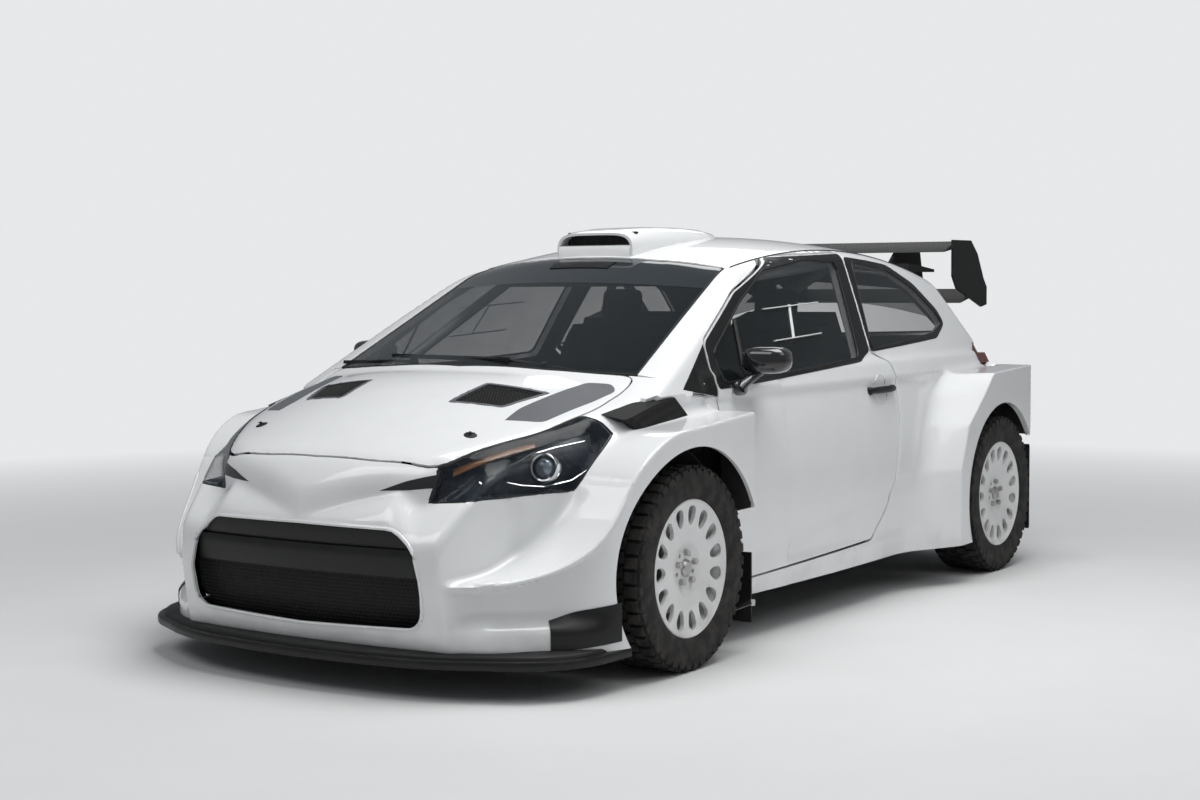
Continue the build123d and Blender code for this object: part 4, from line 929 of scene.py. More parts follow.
# %% Paints
def painted(name, colour, dust_colour, dust_height, roughness, coat):
    """Gloss paint with faint unevenness, and dust that thins out upwards."""
    finish = Finish(name, Roughness=roughness, Coat_Weight=coat, Coat_Roughness=0.04, IOR=1.5)
    cloud = finish.noise(9.0, 4.0)
    fine = finish.noise(420.0, 2.0)
    low = finish.axis("Z").over(dust_height, 0.06)
    dust = low * low * cloud.over(0.35, 0.8) * 0.75 + fine.over(0.62, 0.9) * low * 0.3
    tone = finish.blend(cloud.over(0.3, 0.75), colour, tuple(c * 0.965 for c in colour[:3]) + (1,))
    finish.feed(Base_Color=finish.blend(dust, tone, dust_colour),
                Roughness=roughness + dust * 0.5 + cloud * 0.06,
                Normal=finish.bump(finish.noise(60.0, 1.0) * 0.6 + fine * 0.4, 0.00012))
    finish.feed(Coat_Weight=coat - dust * 0.8)
    return finish.material


DUST = (0.33, 0.29, 0.24, 1)
body_white = painted("body_white", (0.80, 0.81, 0.815, 1), DUST, 0.34, 0.34, 1.0)
cage_white = painted("cage_white", (0.55, 0.57, 0.58, 1), DUST, 0.28, 0.4, 0.4)
wheel_white = painted("wheel_white", (0.74, 0.745, 0.74, 1), (0.30, 0.27, 0.23, 1), 0.50, 0.4, 0.5)
gloss_black = painted("gloss_black", (0.012, 0.012, 0.013, 1), DUST, 0.2, 0.16, 1.0)


def grained(name, tone, roughness, grain, depth, light=1.5, metallic=0.0, sheen=0.5):
    """Moulded plastic, rubber or rough metal: a fine grain and a slow change of tone."""
    finish = Finish(name, Metallic=metallic, Specular_IOR_Level=sheen)
    fine, slow = finish.noise(grain, 2.0), finish.noise(14.0, 4.0)
    worn = slow.over(0.35, 0.75)
    colour = tone if isinstance(tone, tuple) else shade(tone)
    lighter = tuple(min(1, c * light) for c in colour[:3]) + (1,)
    finish.feed(Base_Color=finish.blend(worn * 0.7 + fine * 0.3, colour, lighter),
                Roughness=roughness + worn * 0.12 - fine * 0.06,
                Normal=finish.bump(fine, depth))
    return finish.material


satin_black = grained("satin_black", 0.007, 0.38, 500.0, 0.00015, 1.7, sheen=0.35)
dark_plastic = grained("dark_plastic", 0.011, 0.5, 900.0, 0.0002, 1.6, sheen=0.35)
leaf_grey = grained("leaf_grey", (0.085, 0.09, 0.10, 1), 0.45, 900.0, 0.0001, 1.15)
lamp_dark = grained("lamp_dark", (0.010, 0.014, 0.022, 1), 0.25, 300.0, 0.00005, 2.4)
underbody = grained("underbody", 0.03, 0.7, 160.0, 0.0006, 1.9)
cast_metal = grained("cast_metal", (0.32, 0.32, 0.31, 1), 0.5, 380.0, 0.0004, 1.3, 0.75)
steel = grained("steel", (0.42, 0.41, 0.40, 1), 0.32, 700.0, 0.0001, 1.25, 1.0)
chrome = grained("chrome", (0.70, 0.71, 0.72, 1), 0.08, 200.0, 0.00002, 1.1, 1.0)
seat_cloth = grained("seat_cloth", 0.02, 0.85, 1400.0, 0.0006, 1.8)
strap_black = grained("strap_black", 0.018, 0.7, 1600.0, 0.0004, 2.0)
orange_lens = grained("orange_lens", (0.20, 0.085, 0.035, 1), 0.15, 260.0, 0.0003, 1.6)
red_lens = grained("red_lens", (0.095, 0.016, 0.010, 1), 0.12, 260.0, 0.0003, 1.8)

# %% [markdown]
# Gravel tyres are matt black rubber, browner where dust sits between the blocks. Carbon parts show a twill:
# two sets of threads that cross, under clear lacquer.

# %% Rubber and carbon
def rubber():
    """Tyre rubber with patches of dust."""
    finish = Finish("tyre_rubber", Specular_IOR_Level=0.3)
    fine, slow = finish.noise(600.0, 3.0), finish.noise(22.0, 4.0)
    dusty = slow.over(0.42, 0.8) * 0.55 + fine.over(0.55, 0.9) * 0.2
    finish.feed(Base_Color=finish.blend(dusty, (0.017, 0.017, 0.017, 1), (0.095, 0.083, 0.070, 1)),
                Roughness=0.78 + dusty * 0.15, Normal=finish.bump(fine, 0.0005))
    return finish.material


def carbon():
    """Carbon twill with a weave of six millimetres."""
    finish = Finish("carbon_twill", Specular_IOR_Level=0.16)
    turned = finish.node("ShaderNodeMapping", {}, {"Vector": finish.coordinates(),
                         "Rotation": (math.radians(35), math.radians(35), math.radians(45))})
    twill = finish.node("ShaderNodeTexChecker", {}, {"Vector": turned, "Scale": 1 / 0.006}, 1)
    cloud = finish.noise(30.0, 2.0)
    finish.feed(Base_Color=finish.blend(twill * 0.8 + cloud * 0.2, shade(0.006), shade(0.026)),
                Roughness=0.44 + twill * 0.14, Normal=finish.bump(twill, 0.00008))
    return finish.material


tyre_rubber, carbon_twill = rubber(), carbon()

# %% [markdown]
# Thin glass mostly lets light through when seen straight on and reflects more and more at a slant. The
# fifth power of Layer Weight's Facing gives that on both faces of a pane, where a Fresnel node would turn
# the inner face opaque. It drives the share of the pane that is opaque. The windscreen also carries a black
# band along its top.

# %% Glass
BAND_EDGE, BAND_BOW = 1.222, 0.075


def glazing(name, tint, clear, reflect, band=False):
    """Thin glass; clear is its opacity seen straight on, reflect what a slant adds, band the black upper band."""
    finish = Finish(name, Base_Color=tint, Roughness=0.02, IOR=1.5, Coat_Weight=0.6, Coat_Roughness=0.02)
    slant = finish.node("ShaderNodeLayerWeight", {}, {"Blend": 0.5}, "Facing")
    edge = slant * slant * (slant * slant) * slant
    smear = finish.noise(6.0, 3.0).over(0.4, 0.8) * 0.03
    opaque = clear + edge * reflect + smear
    if band:
        height, side = finish.axis("Z"), finish.axis("X")
        above = height - (BAND_EDGE - side * side * BAND_BOW)
        opaque = opaque + above.over(-0.0012, 0.0012)
    finish.feed(Alpha=opaque.over(0.0, 1.0), Roughness=0.02 + smear)
    return finish.material


clear_glass = glazing("clear_glass", (0.016, 0.022, 0.024, 1), 0.27, 1.0)
screen_glass = glazing("screen_glass", (0.010, 0.015, 0.019, 1), 0.36, 1.1, band=True)
rear_glass = glazing("rear_glass", (0.014, 0.016, 0.017, 1), 0.45, 0.8)
cover_glass = glazing("cover_glass", (0.05, 0.06, 0.07, 1), 0.10, 1.3)
print("materials:", len(bpy.data.materials))

# %% [markdown]
# ## Dressing the panels and the imported pieces
# Each panel rides on its body and stands for the imported node that it covers. The insides of the panels
# get the dark underbody finish; in the wheel arches this dark is painted shade. Imported pieces whose shape
# is already right stay, and only get their finish.

# %% Panels ride on their bodies
# The second material, underbody, makes each panel's inside dark; in the wheel arches this dark is painted shade.
for made, body, hidden in ((bumper, "chassis", "front_bumper"), (bonnet, "bonnet", "bonnet"),
                           (roof, "chassis", "roof_panel"), (hatch, "tailgate", "tailgate"),
                           (rear_bumper, "chassis", "rear_bumper")):
    dress(made, body, [hidden], "body_paint", body_white, underbody)
for made, rows in ((wing_left, pair("chassis", "front_fender_{}")), (side_left, pair("chassis", "body_side_{}")),
                   (door_left, pair("door_{}", "door_{}"))):
    both_sides(made, rows, "body_paint", body_white, underbody)

NODE_FINISHES = [
    (carbon_twill, "fender_ducts rear_wing rear_diffuser seats"),
    (underbody, "wheel_housings floor_pan front_frame rear_suspension"),
    (cast_metal, "engine_block radiator front_suspension rear_uprights knuckle_left knuckle_right"),
    (steel, "half_shafts hub_front_left hub_front_right hub_rear_left hub_rear_right"),
    (dark_plastic, "mud_flaps dashboard"), (seat_cloth, "steering_wheel"), (cage_white, "roll_cage"),
    (rear_glass, "rear_window"), (clear_glass, "quarter_windows"), (red_lens, "tail_lamps"),
]
for material, names in NODE_FINISHES:
    for name in names.split():
        slots = nodes[name].data.materials
        for i in range(len(slots)):
            slots[i] = material
        if not slots:
            slots.append(material)

# %% [markdown]
# ## Small makers
# Most small pieces are one of three things: a turned part, a rod along a line or a soft-edged block. Each
# maker returns points and faces, and a heap gathers them into one object, so that a lamp or a wheel centre is
# a single piece.

# %% Turned parts, rods and blocks
class Heap:
    """Points and faces from several makers, gathered for one object."""

    def __init__(self):
        self.points, self.faces = [], []

    def add(self, made):
        points, faces = made
        start = len(self.points)
        self.points += [tuple(p) for p in points]
        self.faces += [tuple(i + start for i in face) for face in faces]
        return self

    def make(self, name, smooth_angle=38):
        """A closed mesh object whose faces all look outwards."""
        made = make_object(name, self.points, self.faces, smooth_angle)
        mesh = bmesh.new()
        mesh.from_mesh(made.data)
        bmesh.ops.recalc_face_normals(mesh, faces=mesh.faces)
        mesh.to_mesh(made.data)
        mesh.free()
        return made


def basis(axis):
    """Two directions square to an axis and to each other."""
    axis = Vector(axis).normalized()
    side = axis.cross(Vector((0, 0, 1)) if abs(axis.z) < 0.9 else Vector((0, 1, 0))).normalized()
    return axis, side, axis.cross(side)


def ring_at(centre, side, up, radius, count, flat=1.0):
    """Points of a circle in the plane of two directions; flat shrinks it along the second."""
    angles = [math.tau * i / count for i in range(count)]
    return [centre + side * radius * math.cos(a) + up * radius * flat * math.sin(a) for a in angles]


def loft(rings, close_ends=True):
    """Quads between rings of points, which have the same count."""
    count = len(rings[0])
    points = [tuple(p) for ring in rings for p in ring]
    faces = []
    for k in range(len(rings) - 1):
        for i in range(count):
            j = (i + 1) % count
            faces.append((k * count + i, k * count + j, (k + 1) * count + j, (k + 1) * count + i))
    if close_ends:
        faces.append(tuple(range(count))[::-1])
        faces.append(tuple(range((len(rings) - 1) * count, len(rings) * count)))
    return points, faces


def lathe(profile, centre, axis, count=40, squash=1.0):
    """(radius, along) pairs turned about an axis; squash flattens the circle."""
    axis, side, up = basis(axis)
    return loft([ring_at(Vector(centre) + axis * along, side, up, radius, count, squash) for radius, along in profile])


def rod(line, radius, sides=10, flat=1.0):
    """A bar along a line; flat thins it in height."""
    line = [Vector(p) for p in line]
    radii = radius if isinstance(radius, (list, tuple)) else [radius] * len(line)
    rings = []
    for k, point in enumerate(line):
        ahead = line[min(k + 1, len(line) - 1)] - line[max(k - 1, 0)]
        axis, side, up = basis(ahead)
        rings.append(ring_at(point, side, up, radii[k], sides, flat))
    return loft(rings)


def soft_block(centre, half, power=4.0, turn=0.0, rows=14, columns=28):
    """A block with soft edges: a sphere squared off by a power, turned about the upright axis."""
    def squared(value):
        return math.copysign(abs(value) ** (2 / power), value)
    cos_turn, sin_turn = math.cos(math.radians(turn)), math.sin(math.radians(turn))
    rings = []
    for k in range(1, rows):
        height = -math.pi / 2 + math.pi * k / rows
        ring = []
        for i in range(columns):
            angle = math.tau * i / columns
            x = half[0] * squared(math.cos(height)) * squared(math.cos(angle))
            y = half[1] * squared(math.cos(height)) * squared(math.sin(angle))
            ring.append((centre[0] + x * cos_turn - y * sin_turn, centre[1] + x * sin_turn + y * cos_turn,
                         centre[2] + half[2] * squared(math.sin(height))))
        rings.append(ring)
    return loft(rings)


# %% [markdown]
# ## What repeats
# Tread blocks and honeycomb are rules, not shapes, so Geometry Nodes make them. A small class
# builds a node tree with named inputs. The result is turned into a plain mesh.

# %% Geometry Nodes
class Growth(Tree):
    """A geometry node tree with named number inputs."""

    def __init__(self, name, **inputs):
        super().__init__(bpy.data.node_groups.new(name, "GeometryNodeTree"))
        face = self.tree.interface
        face.new_socket("Geometry", in_out="INPUT", socket_type="NodeSocketGeometry")
        face.new_socket("Geometry", in_out="OUTPUT", socket_type="NodeSocketGeometry")
        self.names = {}
        for key, value in inputs.items():
            kind = "NodeSocketInt" if isinstance(value, int) else "NodeSocketFloat"
            socket = face.new_socket(key, in_out="INPUT", socket_type=kind)
            socket.default_value = value
            self.names[key] = socket.identifier
        self.entry = self.tree.nodes.new("NodeGroupInput")

    def value(self, key):
        """One input of the tree, by its name or its number."""
        return Wire(self, self.entry.outputs[key])

    def end(self, geometry, material):
        """Makes instances real, gives them their material and ends the tree."""
        real = self.node("GeometryNodeRealizeInstances", {}, {0: geometry})
        done = self.node("GeometryNodeSetMaterial", {}, {"Geometry": real, "Material": material})
        self.tree.links.new(done.socket, self.tree.nodes.new("NodeGroupOutput").inputs[0])


def grow(name, growth, seed_mesh=None, place=(0, 0, 0), **sizes):
    """Runs a tree on a seed mesh and keeps the result as a plain mesh at a place in metres."""
    seed = add_object(name + "_seed", seed_mesh or bpy.data.meshes.new(name + "_seed"))
    modifier = seed.modifiers.new("grow", "NODES")
    modifier.node_group = growth.tree
    for key, value in sizes.items():
        modifier[growth.names[key]] = value
    graph = bpy.context.evaluated_depsgraph_get()
    mesh = bpy.data.meshes.new_from_object(seed.evaluated_get(graph), depsgraph=graph)
    seed.modifiers.remove(modifier)
    bpy.data.objects.remove(seed)
    mesh.transform(Matrix.Translation(place))
    return add_object(name, mesh)


def net_growth(name, material):
    """Turns the edges of a mesh into thin bars."""
    growth = Growth(name, bar_radius=0.001, bar_sides=4)
    line = growth.node("GeometryNodeMeshToCurve", {}, {0: growth.value(0)})
    section = growth.node("GeometryNodeCurvePrimitiveCircle", {},
                          {"Radius": growth.value("bar_radius"), "Resolution": growth.value("bar_sides")})
    growth.end(growth.node("GeometryNodeCurveToMesh", {}, {"Curve": line, "Profile Curve": section}), material)
    return growth


def honeycomb(loop, pitch):
    """Corners and edges of a honeycomb inside a flat outline."""
    side = pitch / math.sqrt(3)
    low, high = loop.min(axis=0), loop.max(axis=0)
    index, corners, edges = {}, [], set()
    for row in range(int((high[1] - low[1]) / (side * 1.5)) + 2):
        for column in range(int((high[0] - low[0]) / pitch) + 2):
            ring = []
            for k in range(6):
                across = 2 * column + row % 2 + (0, 1, 1, 0, -1, -1)[k]
                above = 3 * row + (2, 1, -1, -2, -1, 1)[k]
                if (across, above) not in index:
                    index[(across, above)] = len(corners)
                    corners.append((low[0] + across * pitch / 2, low[1] + above * side / 2))
                ring.append(index[(across, above)])
            edges |= {tuple(sorted((ring[k], ring[(k + 1) % 6]))) for k in range(6)}
    corners = np.array(corners)
    inside = inside_loop(corners, loop)
    return corners, [e for e in edges if inside[e[0]] and inside[e[1]]]


def net_on(name, growth, look, outline, form, pitch, radius):
    """A honeycomb of bars on a form, inside an outline."""
    corners, edges = honeycomb(look.flat(outline), pitch)
    points = drop(look, corners, form)
    mesh = bpy.data.meshes.new(name + "_lines")
    mesh.from_pydata((np.nan_to_num(points) * MM).tolist(), edges, [])
    return grow(name, growth, mesh, bar_radius=radius * MM)

# %% [markdown]
# ## Wheels
# A gravel tyre has a round carcass with upright sidewalls, and separate square blocks of rubber in rows,
# turned a little from row to row, with lugs over the shoulders. The tree sets one row of blocks round the
# axle; each row is the same tree with other numbers.

# %% Tyres
TREAD_COUNT = 46
tread = Growth("tread_row", count=TREAD_COUNT, radius=0.318, across=0.04, along=0.034, depth=0.014, offset=0.0,
               turn=0.0, slant=0.0)
ring = tread.node("GeometryNodeMeshCircle", {}, {"Vertices": tread.value("count"), "Radius": tread.value("radius")})
quarter_turn = tread.node("GeometryNodeTransform", {}, {"Geometry": ring, "Rotation": (0, math.pi / 2, 0)})
outwards = tread.node("FunctionNodeAlignEulerToVector", {"axis": "Z", "pivot_axis": "X"},
                      {"Vector": tread.node("GeometryNodeInputPosition")})
size = tread.node("ShaderNodeCombineXYZ", {}, {0: tread.value("across"), 1: tread.value("along"),
                  2: tread.value("depth")})
block = tread.node("GeometryNodeMeshCube", {}, {"Size": size})
slanted = tread.node("GeometryNodeTransform", {}, {"Geometry": block, "Rotation":
                     tread.node("ShaderNodeCombineXYZ", {}, {2: tread.value("slant")})})
row = tread.node("GeometryNodeInstanceOnPoints", {}, {"Points": quarter_turn, "Instance": slanted,
                 "Rotation": outwards})
shift = tread.node("ShaderNodeCombineXYZ", {}, {0: tread.value("offset")})
spin = tread.node("ShaderNodeCombineXYZ", {}, {0: tread.value("turn")})
tread.end(tread.node("GeometryNodeTransform", {}, {"Geometry": row, "Translation": shift, "Rotation": spin}),
          tyre_rubber)


def join(name, pieces):
    """Several objects made into one."""
    bm = bmesh.new()
    for piece in pieces:
        bm.from_mesh(piece.data)
    mesh = bpy.data.meshes.new(name)
    bm.to_mesh(mesh)
    bm.free()
    for piece in pieces:
        bpy.data.objects.remove(piece)
    return add_object(name, mesh)


# Radius, and how far the carcass is drawn in from the tyre's side, as a share of its half width.
CARCASS = [(214, -0.16), (222, -0.07), (240, -0.022), (270, -0.006), (292, -0.008), (305, -0.03), (312, -0.08),
           (314, -0.2), (315, -0.5), (315, -1)]
# Place and width as shares of the half width, turn in blocks, slant, and radius, length and depth in metres.
TREAD_ROWS = [
    (0.24, 0.4, 0.0, 0.25, 0.3170, 0.033, 0.0145),
    (-0.24, 0.4, 0.5, -0.25, 0.3170, 0.033, 0.0145),
    (0.70, 0.38, 0.25, 0.0, 0.3170, 0.033, 0.0145),
    (-0.70, 0.38, 0.75, 0.0, 0.3170, 0.033, 0.0145),
    (0.935, 0.12, 0.25, 0.0, 0.3045, 0.026, 0.020),
    (-0.935, 0.12, 0.75, 0.0, 0.3045, 0.026, 0.020),
]
NUT_COUNT, NUT_CIRCLE, NUT_PHASE, HOLE_PHASE = 5, 50, 0.32, 0.95
HUB_STANDOFF = 6


def middle_of(node):
    """Lowest and highest corner of a node's box, and its middle, in millimetres."""
    low, high = (Vector(corner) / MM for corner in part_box(node))
    return low, high, (low + high) / 2


def tyre(name, node):
    """A gravel tyre in the place of a packed one."""
    low, high, centre = middle_of(node)
    half = (high.x - low.x) / 2
    profile = [(r, half * (1 + u)) for r, u in CARCASS] + [(r, -half * (1 + u)) for r, u in CARCASS[-2::-1]]
    profile += [(205, -half * 0.8), (205, half * 0.8), profile[0]]
    rings = [[(centre.x + along, centre.y + radius * math.cos(a), centre.z + radius * math.sin(a))
              for a in np.linspace(0, math.tau, 96, endpoint=False)] for radius, along in profile]
    pieces = [Heap().add(loft(rings, close_ends=False)).make(name + "_carcass", 50)]
    for offset, across, turn, slant, radius, along, depth in TREAD_ROWS:
        pieces.append(grow(name + "_row", tread, None, centre * MM, offset=half * MM * offset,
                           across=half * MM * across, count=TREAD_COUNT, turn=turn * math.tau / TREAD_COUNT,
                           slant=slant, radius=radius, along=along, depth=depth))
    made = join(name, pieces)
    made.data.materials.clear()
    return made


for end in ENDS:
    for side, hand in SIDES:
        made = tyre(f"gravel_tyre_{end}_{side}", f"tyre_{end}_{side}")
        dress(made, f"wheel_{end}_{side}", [f"tyre_{end}_{side}"], "tyre", tyre_rubber)
        axle = middle_of(f"rim_{end}_{side}")[2]
        hub_low, hub_high, _ = middle_of(f"hub_{end}_{side}")
        face = (hub_high if hand > 0 else hub_low).x + hand * HUB_STANDOFF
        nuts = Heap()
        for k in range(NUT_COUNT):
            angle = math.tau * k / NUT_COUNT + NUT_PHASE
            spot = (face, axle.y + NUT_CIRCLE * math.cos(angle), axle.z + NUT_CIRCLE * math.sin(angle))
            nuts.add(lathe([(0.5, 14), (7, 14), (10, 11), (10, -8), (14, -9), (14, -12)], spot, (hand, 0, 0), 12))
        nuts.add(lathe([(0.5, 10), (20, 10), (27, 4), (28, -14)], (face, axle.y, axle.z), (hand, 0, 0)))
        dress(nuts.make(f"wheel_nuts_{end}_{side}"), f"wheel_{end}_{side}", [], "disc", steel)
print("tyre faces:", len(made.data.polygons))

# %% [markdown]
# ## Rims
# A gravel rim is a dished disc with fifteen tall windows, a sunk centre with five holes, and a barrel behind.
# The disc is a form too: its depth depends only on the distance from the axle, so the panel maker that cut
# the body can cut it, windows and all.

# %% Rims
RIM_DEPTH = [(0, -1), (64, -1), (80, -0.72), (112, -0.54), (150, -0.4), (196, -0.27), (203, -0.1), (216, -0.02)]
RIM_RADIUS, WINDOWS, WINDOW_RADIUS, RIM_SIDES = 216, 15, 166, 72


def round_hole(y, z, radius, count):
    """A circle in the side view."""
    return [(y + radius * math.cos(t), z + radius * math.sin(t)) for t in np.linspace(0, math.tau, count + 1)[:-1]]


def rim_disc(name, face, y, z, sunk):
    """The front of a left-hand rim whose lip is at x = face and whose centre is sunk by a depth."""
    radii, shares = zip(*RIM_DEPTH)
    depths = [share * sunk for share in shares]
    form = lambda px, py, pz: px - face - np.interp(np.hypot(py - y, pz - z), radii, depths)
    loop = round_hole(y, z, RIM_RADIUS, 96)
    holes = []
    for k in range(WINDOWS):
        middle = math.tau * (k + 0.5) / WINDOWS
        ring = []
        for t in np.linspace(0, math.tau, 21)[:-1]:
            radial = 31 * math.copysign(abs(math.cos(t)) ** 0.8, math.cos(t))
            across = (20.5 + 0.22 * radial) * math.copysign(abs(math.sin(t)) ** 0.85, math.sin(t))
            r = WINDOW_RADIUS + radial
            ring.append((y + r * math.cos(middle) - across * math.sin(middle),
                         z + r * math.sin(middle) + across * math.cos(middle)))
        holes.append(ring)
    for k in range(NUT_COUNT):
        a = math.tau * k / NUT_COUNT + HOLE_PHASE
        holes.append(round_hole(y + NUT_CIRCLE * math.cos(a), z + NUT_CIRCLE * math.sin(a), 7.5, 12))
    laid = [on_look(FROM_LEFT, form, [(0, py, pz) for py, pz in ring]) for ring in (loop, *holes)]
    return panel(name, FROM_LEFT, laid[0], laid[1:], pitch=9.0, wall=15.0, turn_in=1.2, form=form)


for end in ENDS:
    low, high, (_, y, z) = middle_of(f"rim_{end}_left")
    face = high.x - 0.5
    depth = face - low.x - 1
    sunk = face - middle_of(f"hub_{end}_left")[1].x - 3
    print("rim centre sunk by", round(sunk, 1))
    profile = [(RIM_RADIUS, 0), (219, -3), (219, -8), (209, -16), (202, -30), (198, -depth * 0.5),
               (206, -depth + 16), (219, -depth + 8), (219, -depth), (213, -depth), (198, -depth + 14),
               (190, -depth * 0.5), (194, -28), (206, -12), (212, 0)]
    points, faces = lathe(profile, (face, y, z), (1, 0, 0), RIM_SIDES)
    last = len(points) - RIM_SIDES
    faces = faces[:-2] + [(last + i, last + (i + 1) % RIM_SIDES, (i + 1) % RIM_SIDES, i) for i in range(RIM_SIDES)]
    barrel = Heap().add((points, faces)).make("barrel")
    made = join(f"rim_shell_{end}_left", [rim_disc("disc", face, y, z, sunk), barrel])
    both_sides(made, pair(f"wheel_{end}_{{}}", f"rim_{end}_{{}}"), "rim_paint", wheel_white)
print("rim faces:", len(made.data.polygons))

# %% [markdown]
# ## Grille
# The mouth has two smooth black bands, one stepped over the other, above a fine honeycomb. The net is drawn
# flat from the front and dropped onto a copy of the nose a little way back.

# %% Grille
net = net_growth("net", dark_plastic)
MOUTH_SIDE = [(195, 330), (204, 424), (240, 460), (330, 466), (440, 436), (500, 360), (503, 338)]


def mouth_band(z0, z1):
    """The mouth's outline between two heights."""
    right = [(float(np.interp(z, *zip(*MOUTH_SIDE))), z) for z in np.linspace(z0, z1, 9)]
    return right + [(-x, z) for x, z in right[::-1]]


def recessed(depths):
    """The nose moved back by a depth that varies with height."""
    return lambda x, y, z: nose_end(x, y, z) + np.interp(z, *zip(*depths))


def framed(z0, z1, form, widen=1.0):
    """The mouth's outline between two heights, laid on a form."""
    ring = [(x * widen, z) for x, z in mouth_band(z0, z1)]
    return loop_of(on_front(ring + ring[:1], form))


GRILLE_SHEETS = [
    # name, lowest and highest point, depths by height, widening, pitch, wall, finish
    ("grille_band_upper", 436, 503, [(436, 24), (503, 5)], 1.0, 18.0, 5.0, satin_black),
    ("grille_band_lower", 352, 440, [(352, 26), (428, 12), (440, 14)], 1.0, 18.0, 5.0, satin_black),
    ("grille_backing", 190, 508, [(190, 58), (508, 58)], 1.12, 26.0, 4.0, dark_plastic),
]
for name, z0, z1, depths, widen, pitch, wall, finish in GRILLE_SHEETS:
    form = recessed(depths)
    made = panel(name, FROM_FRONT, framed(z0, z1, form, widen), pitch=pitch, wall=wall, form=form)
    dress(made, "chassis", ["grille"], "black_plastic", finish)
net_form = recessed([(195, 26), (356, 26)])
grille_net = net_on("grille_net", net, FROM_FRONT, framed(195, 356, net_form), net_form, 13.5, 1.5)
dress(grille_net, "chassis", ["grille"], "black_plastic")
print("grille net faces:", len(grille_net.data.polygons))

# %% [markdown]
# ## Windscreen
# The screen is cut from the same skin as the panels round it, so its edge meets theirs all the way.

# %% Windscreen
screen_top = near([(0, -392, 1312), (270, -380, 1307), (533, -328, 1288)])
screen_edge = near([(538, -340, 1286), (583, -712, 1108), (629, -1061, 919)])
screen_low = near([(629, -1061, 919), (500, -1118, 930), (330, -1156, 940), (0, -1184, 947)])
half_screen = loop_of(screen_top, screen_edge, screen_low)
screen_outline = loop_of(half_screen, half_screen[::-1][1:-1] * (-1, 1, 1))
FROM_SCREEN = Look((0, 0.5, -0.87), 2600, 3600)
screen = panel("windscreen_pane", FROM_SCREEN, screen_outline, pitch=24.0, wall=5.0, lift=-2.5)
dress(screen, "chassis", ["windshield"], "clear_glass", screen_glass)
print("windscreen faces:", len(screen.data.polygons))

# %% [markdown]
# ## Headlamps
# Each lamp is a dark bowl under a clear cover that is cut from the skin. Inside are a projector in a bright
# ring, two bright blades that curve round it, an amber strip above and a small round lamp beside it.

# %% Headlamps
lamp_loop = loop_of(lamp_inner, lamp_lower, lamp_outer, lamp_rear, lamp_top[::-1])


def lamp_ring(depth, shrink):
    """The lamp's outline moved in along the skin's normal and drawn together."""
    normal = field_normal(skin, lamp_loop)
    points = lamp_loop - normal * depth
    centre = points.mean(axis=0)
    return centre + (points - centre) * (1 - shrink)


cover_loop = lamp_ring(0, 0.012)
cover = panel("lamp_cover_left", ROUND_NOSE, snap(cover_loop), pitch=14.0, wall=3.0, turn_in=0.8)
BOWL_DEPTH = 46
bowl_form = sunk_skin(BOWL_DEPTH)
bowl_rim = snap(lamp_ring(BOWL_DEPTH, 0.06), bowl_form)
bowl = panel("lamp_bowl_floor", ROUND_NOSE, bowl_rim, pitch=16.0, wall=4.0, form=bowl_form)
wall_rings = [lamp_ring(3, 0.0), lamp_ring(3, 0.03), lamp_ring(50, 0.05), lamp_ring(50, 0.02), lamp_ring(3, 0.0)]
bowl_wall = Heap().add(loft(wall_rings, close_ends=False)).make("lamp_bowl_wall")
bowl_left = join("lamp_bowl_left", [bowl, bowl_wall])
aim = Vector((0.20, -0.96, 0.16)).normalized()
projector, small_lamp = Vector((636, -1590, 663)), Vector((500, -1745, 607))
bright = Heap().add(lathe([(44, -30), (46, 6), (42, 12), (37, 10), (36, -30)], projector, aim))
bright.add(lathe([(20, -30), (21, 6), (18, 9), (16, 6), (15, -30)], small_lamp, aim, 28))
bright.add(rod([(560, -1680, 622), (590, -1650, 612), (640, -1600, 606), (690, -1530, 622), (712, -1470, 652)],
               [2, 6, 7, 6, 2], 8, 0.5))
bright.add(rod([(560, -1670, 668), (600, -1620, 702), (650, -1560, 722), (700, -1470, 738)], [2, 6, 6, 2], 8, 0.5))
bright_left = bright.make("lamp_bright_left")
lens = Heap().add(lathe([(0.5, 22), (12, 20), (24, 12), (33, 0), (36, -14)], projector, aim))
lens.add(lathe([(0.5, 12), (8, 10), (15, 0), (15, -6)], small_lamp, aim, 24))
lens_left = lens.make("lamp_lens_left")
amber_form = sunk_skin(20)
amber_line = [lamp_top[int(i)] for i in np.linspace(len(lamp_top) * 0.12, len(lamp_top) * 0.62, 14)]
amber_low = [p + np.array((10, -14, -34.0)) for p in amber_line[::-1]]
amber_loop = snap(np.array([p + np.array((2, -4, -9.0)) for p in amber_line] + amber_low), amber_form)
amber_left = panel("lamp_amber_left", ROUND_NOSE, loop_of(amber_loop), pitch=12.0, wall=4.0, form=amber_form)
lens_glass = grained("lens_glass", (0.16, 0.19, 0.22, 1), 0.05, 300.0, 0.00002, 1.6, 0.4)
lamp_rows = [(cover, cover_glass, "headlamp_covers", "lamp_cover"), (bowl_left, lamp_dark, "headlamps", "lamp_body"),
             (bright_left, chrome, "headlamps", "lamp_body"), (lens_left, lens_glass, "headlamps", "lamp_body"),
             (amber_left, orange_lens, "headlamps", "lamp_body")]
for made, material, node, slot_name in lamp_rows:
    both_sides(made, pair("chassis", node), slot_name, material)
print("lamp pieces:", len(lamp_rows) * 2)

# %% [markdown]
# ## Black trim on the skin
# Strips, window frames and corner panels are thin sheets that lie on the paint. They are cut from the same
# skin and stand one to four millimetres proud of it. Seals are beads that follow the edge of an opening.

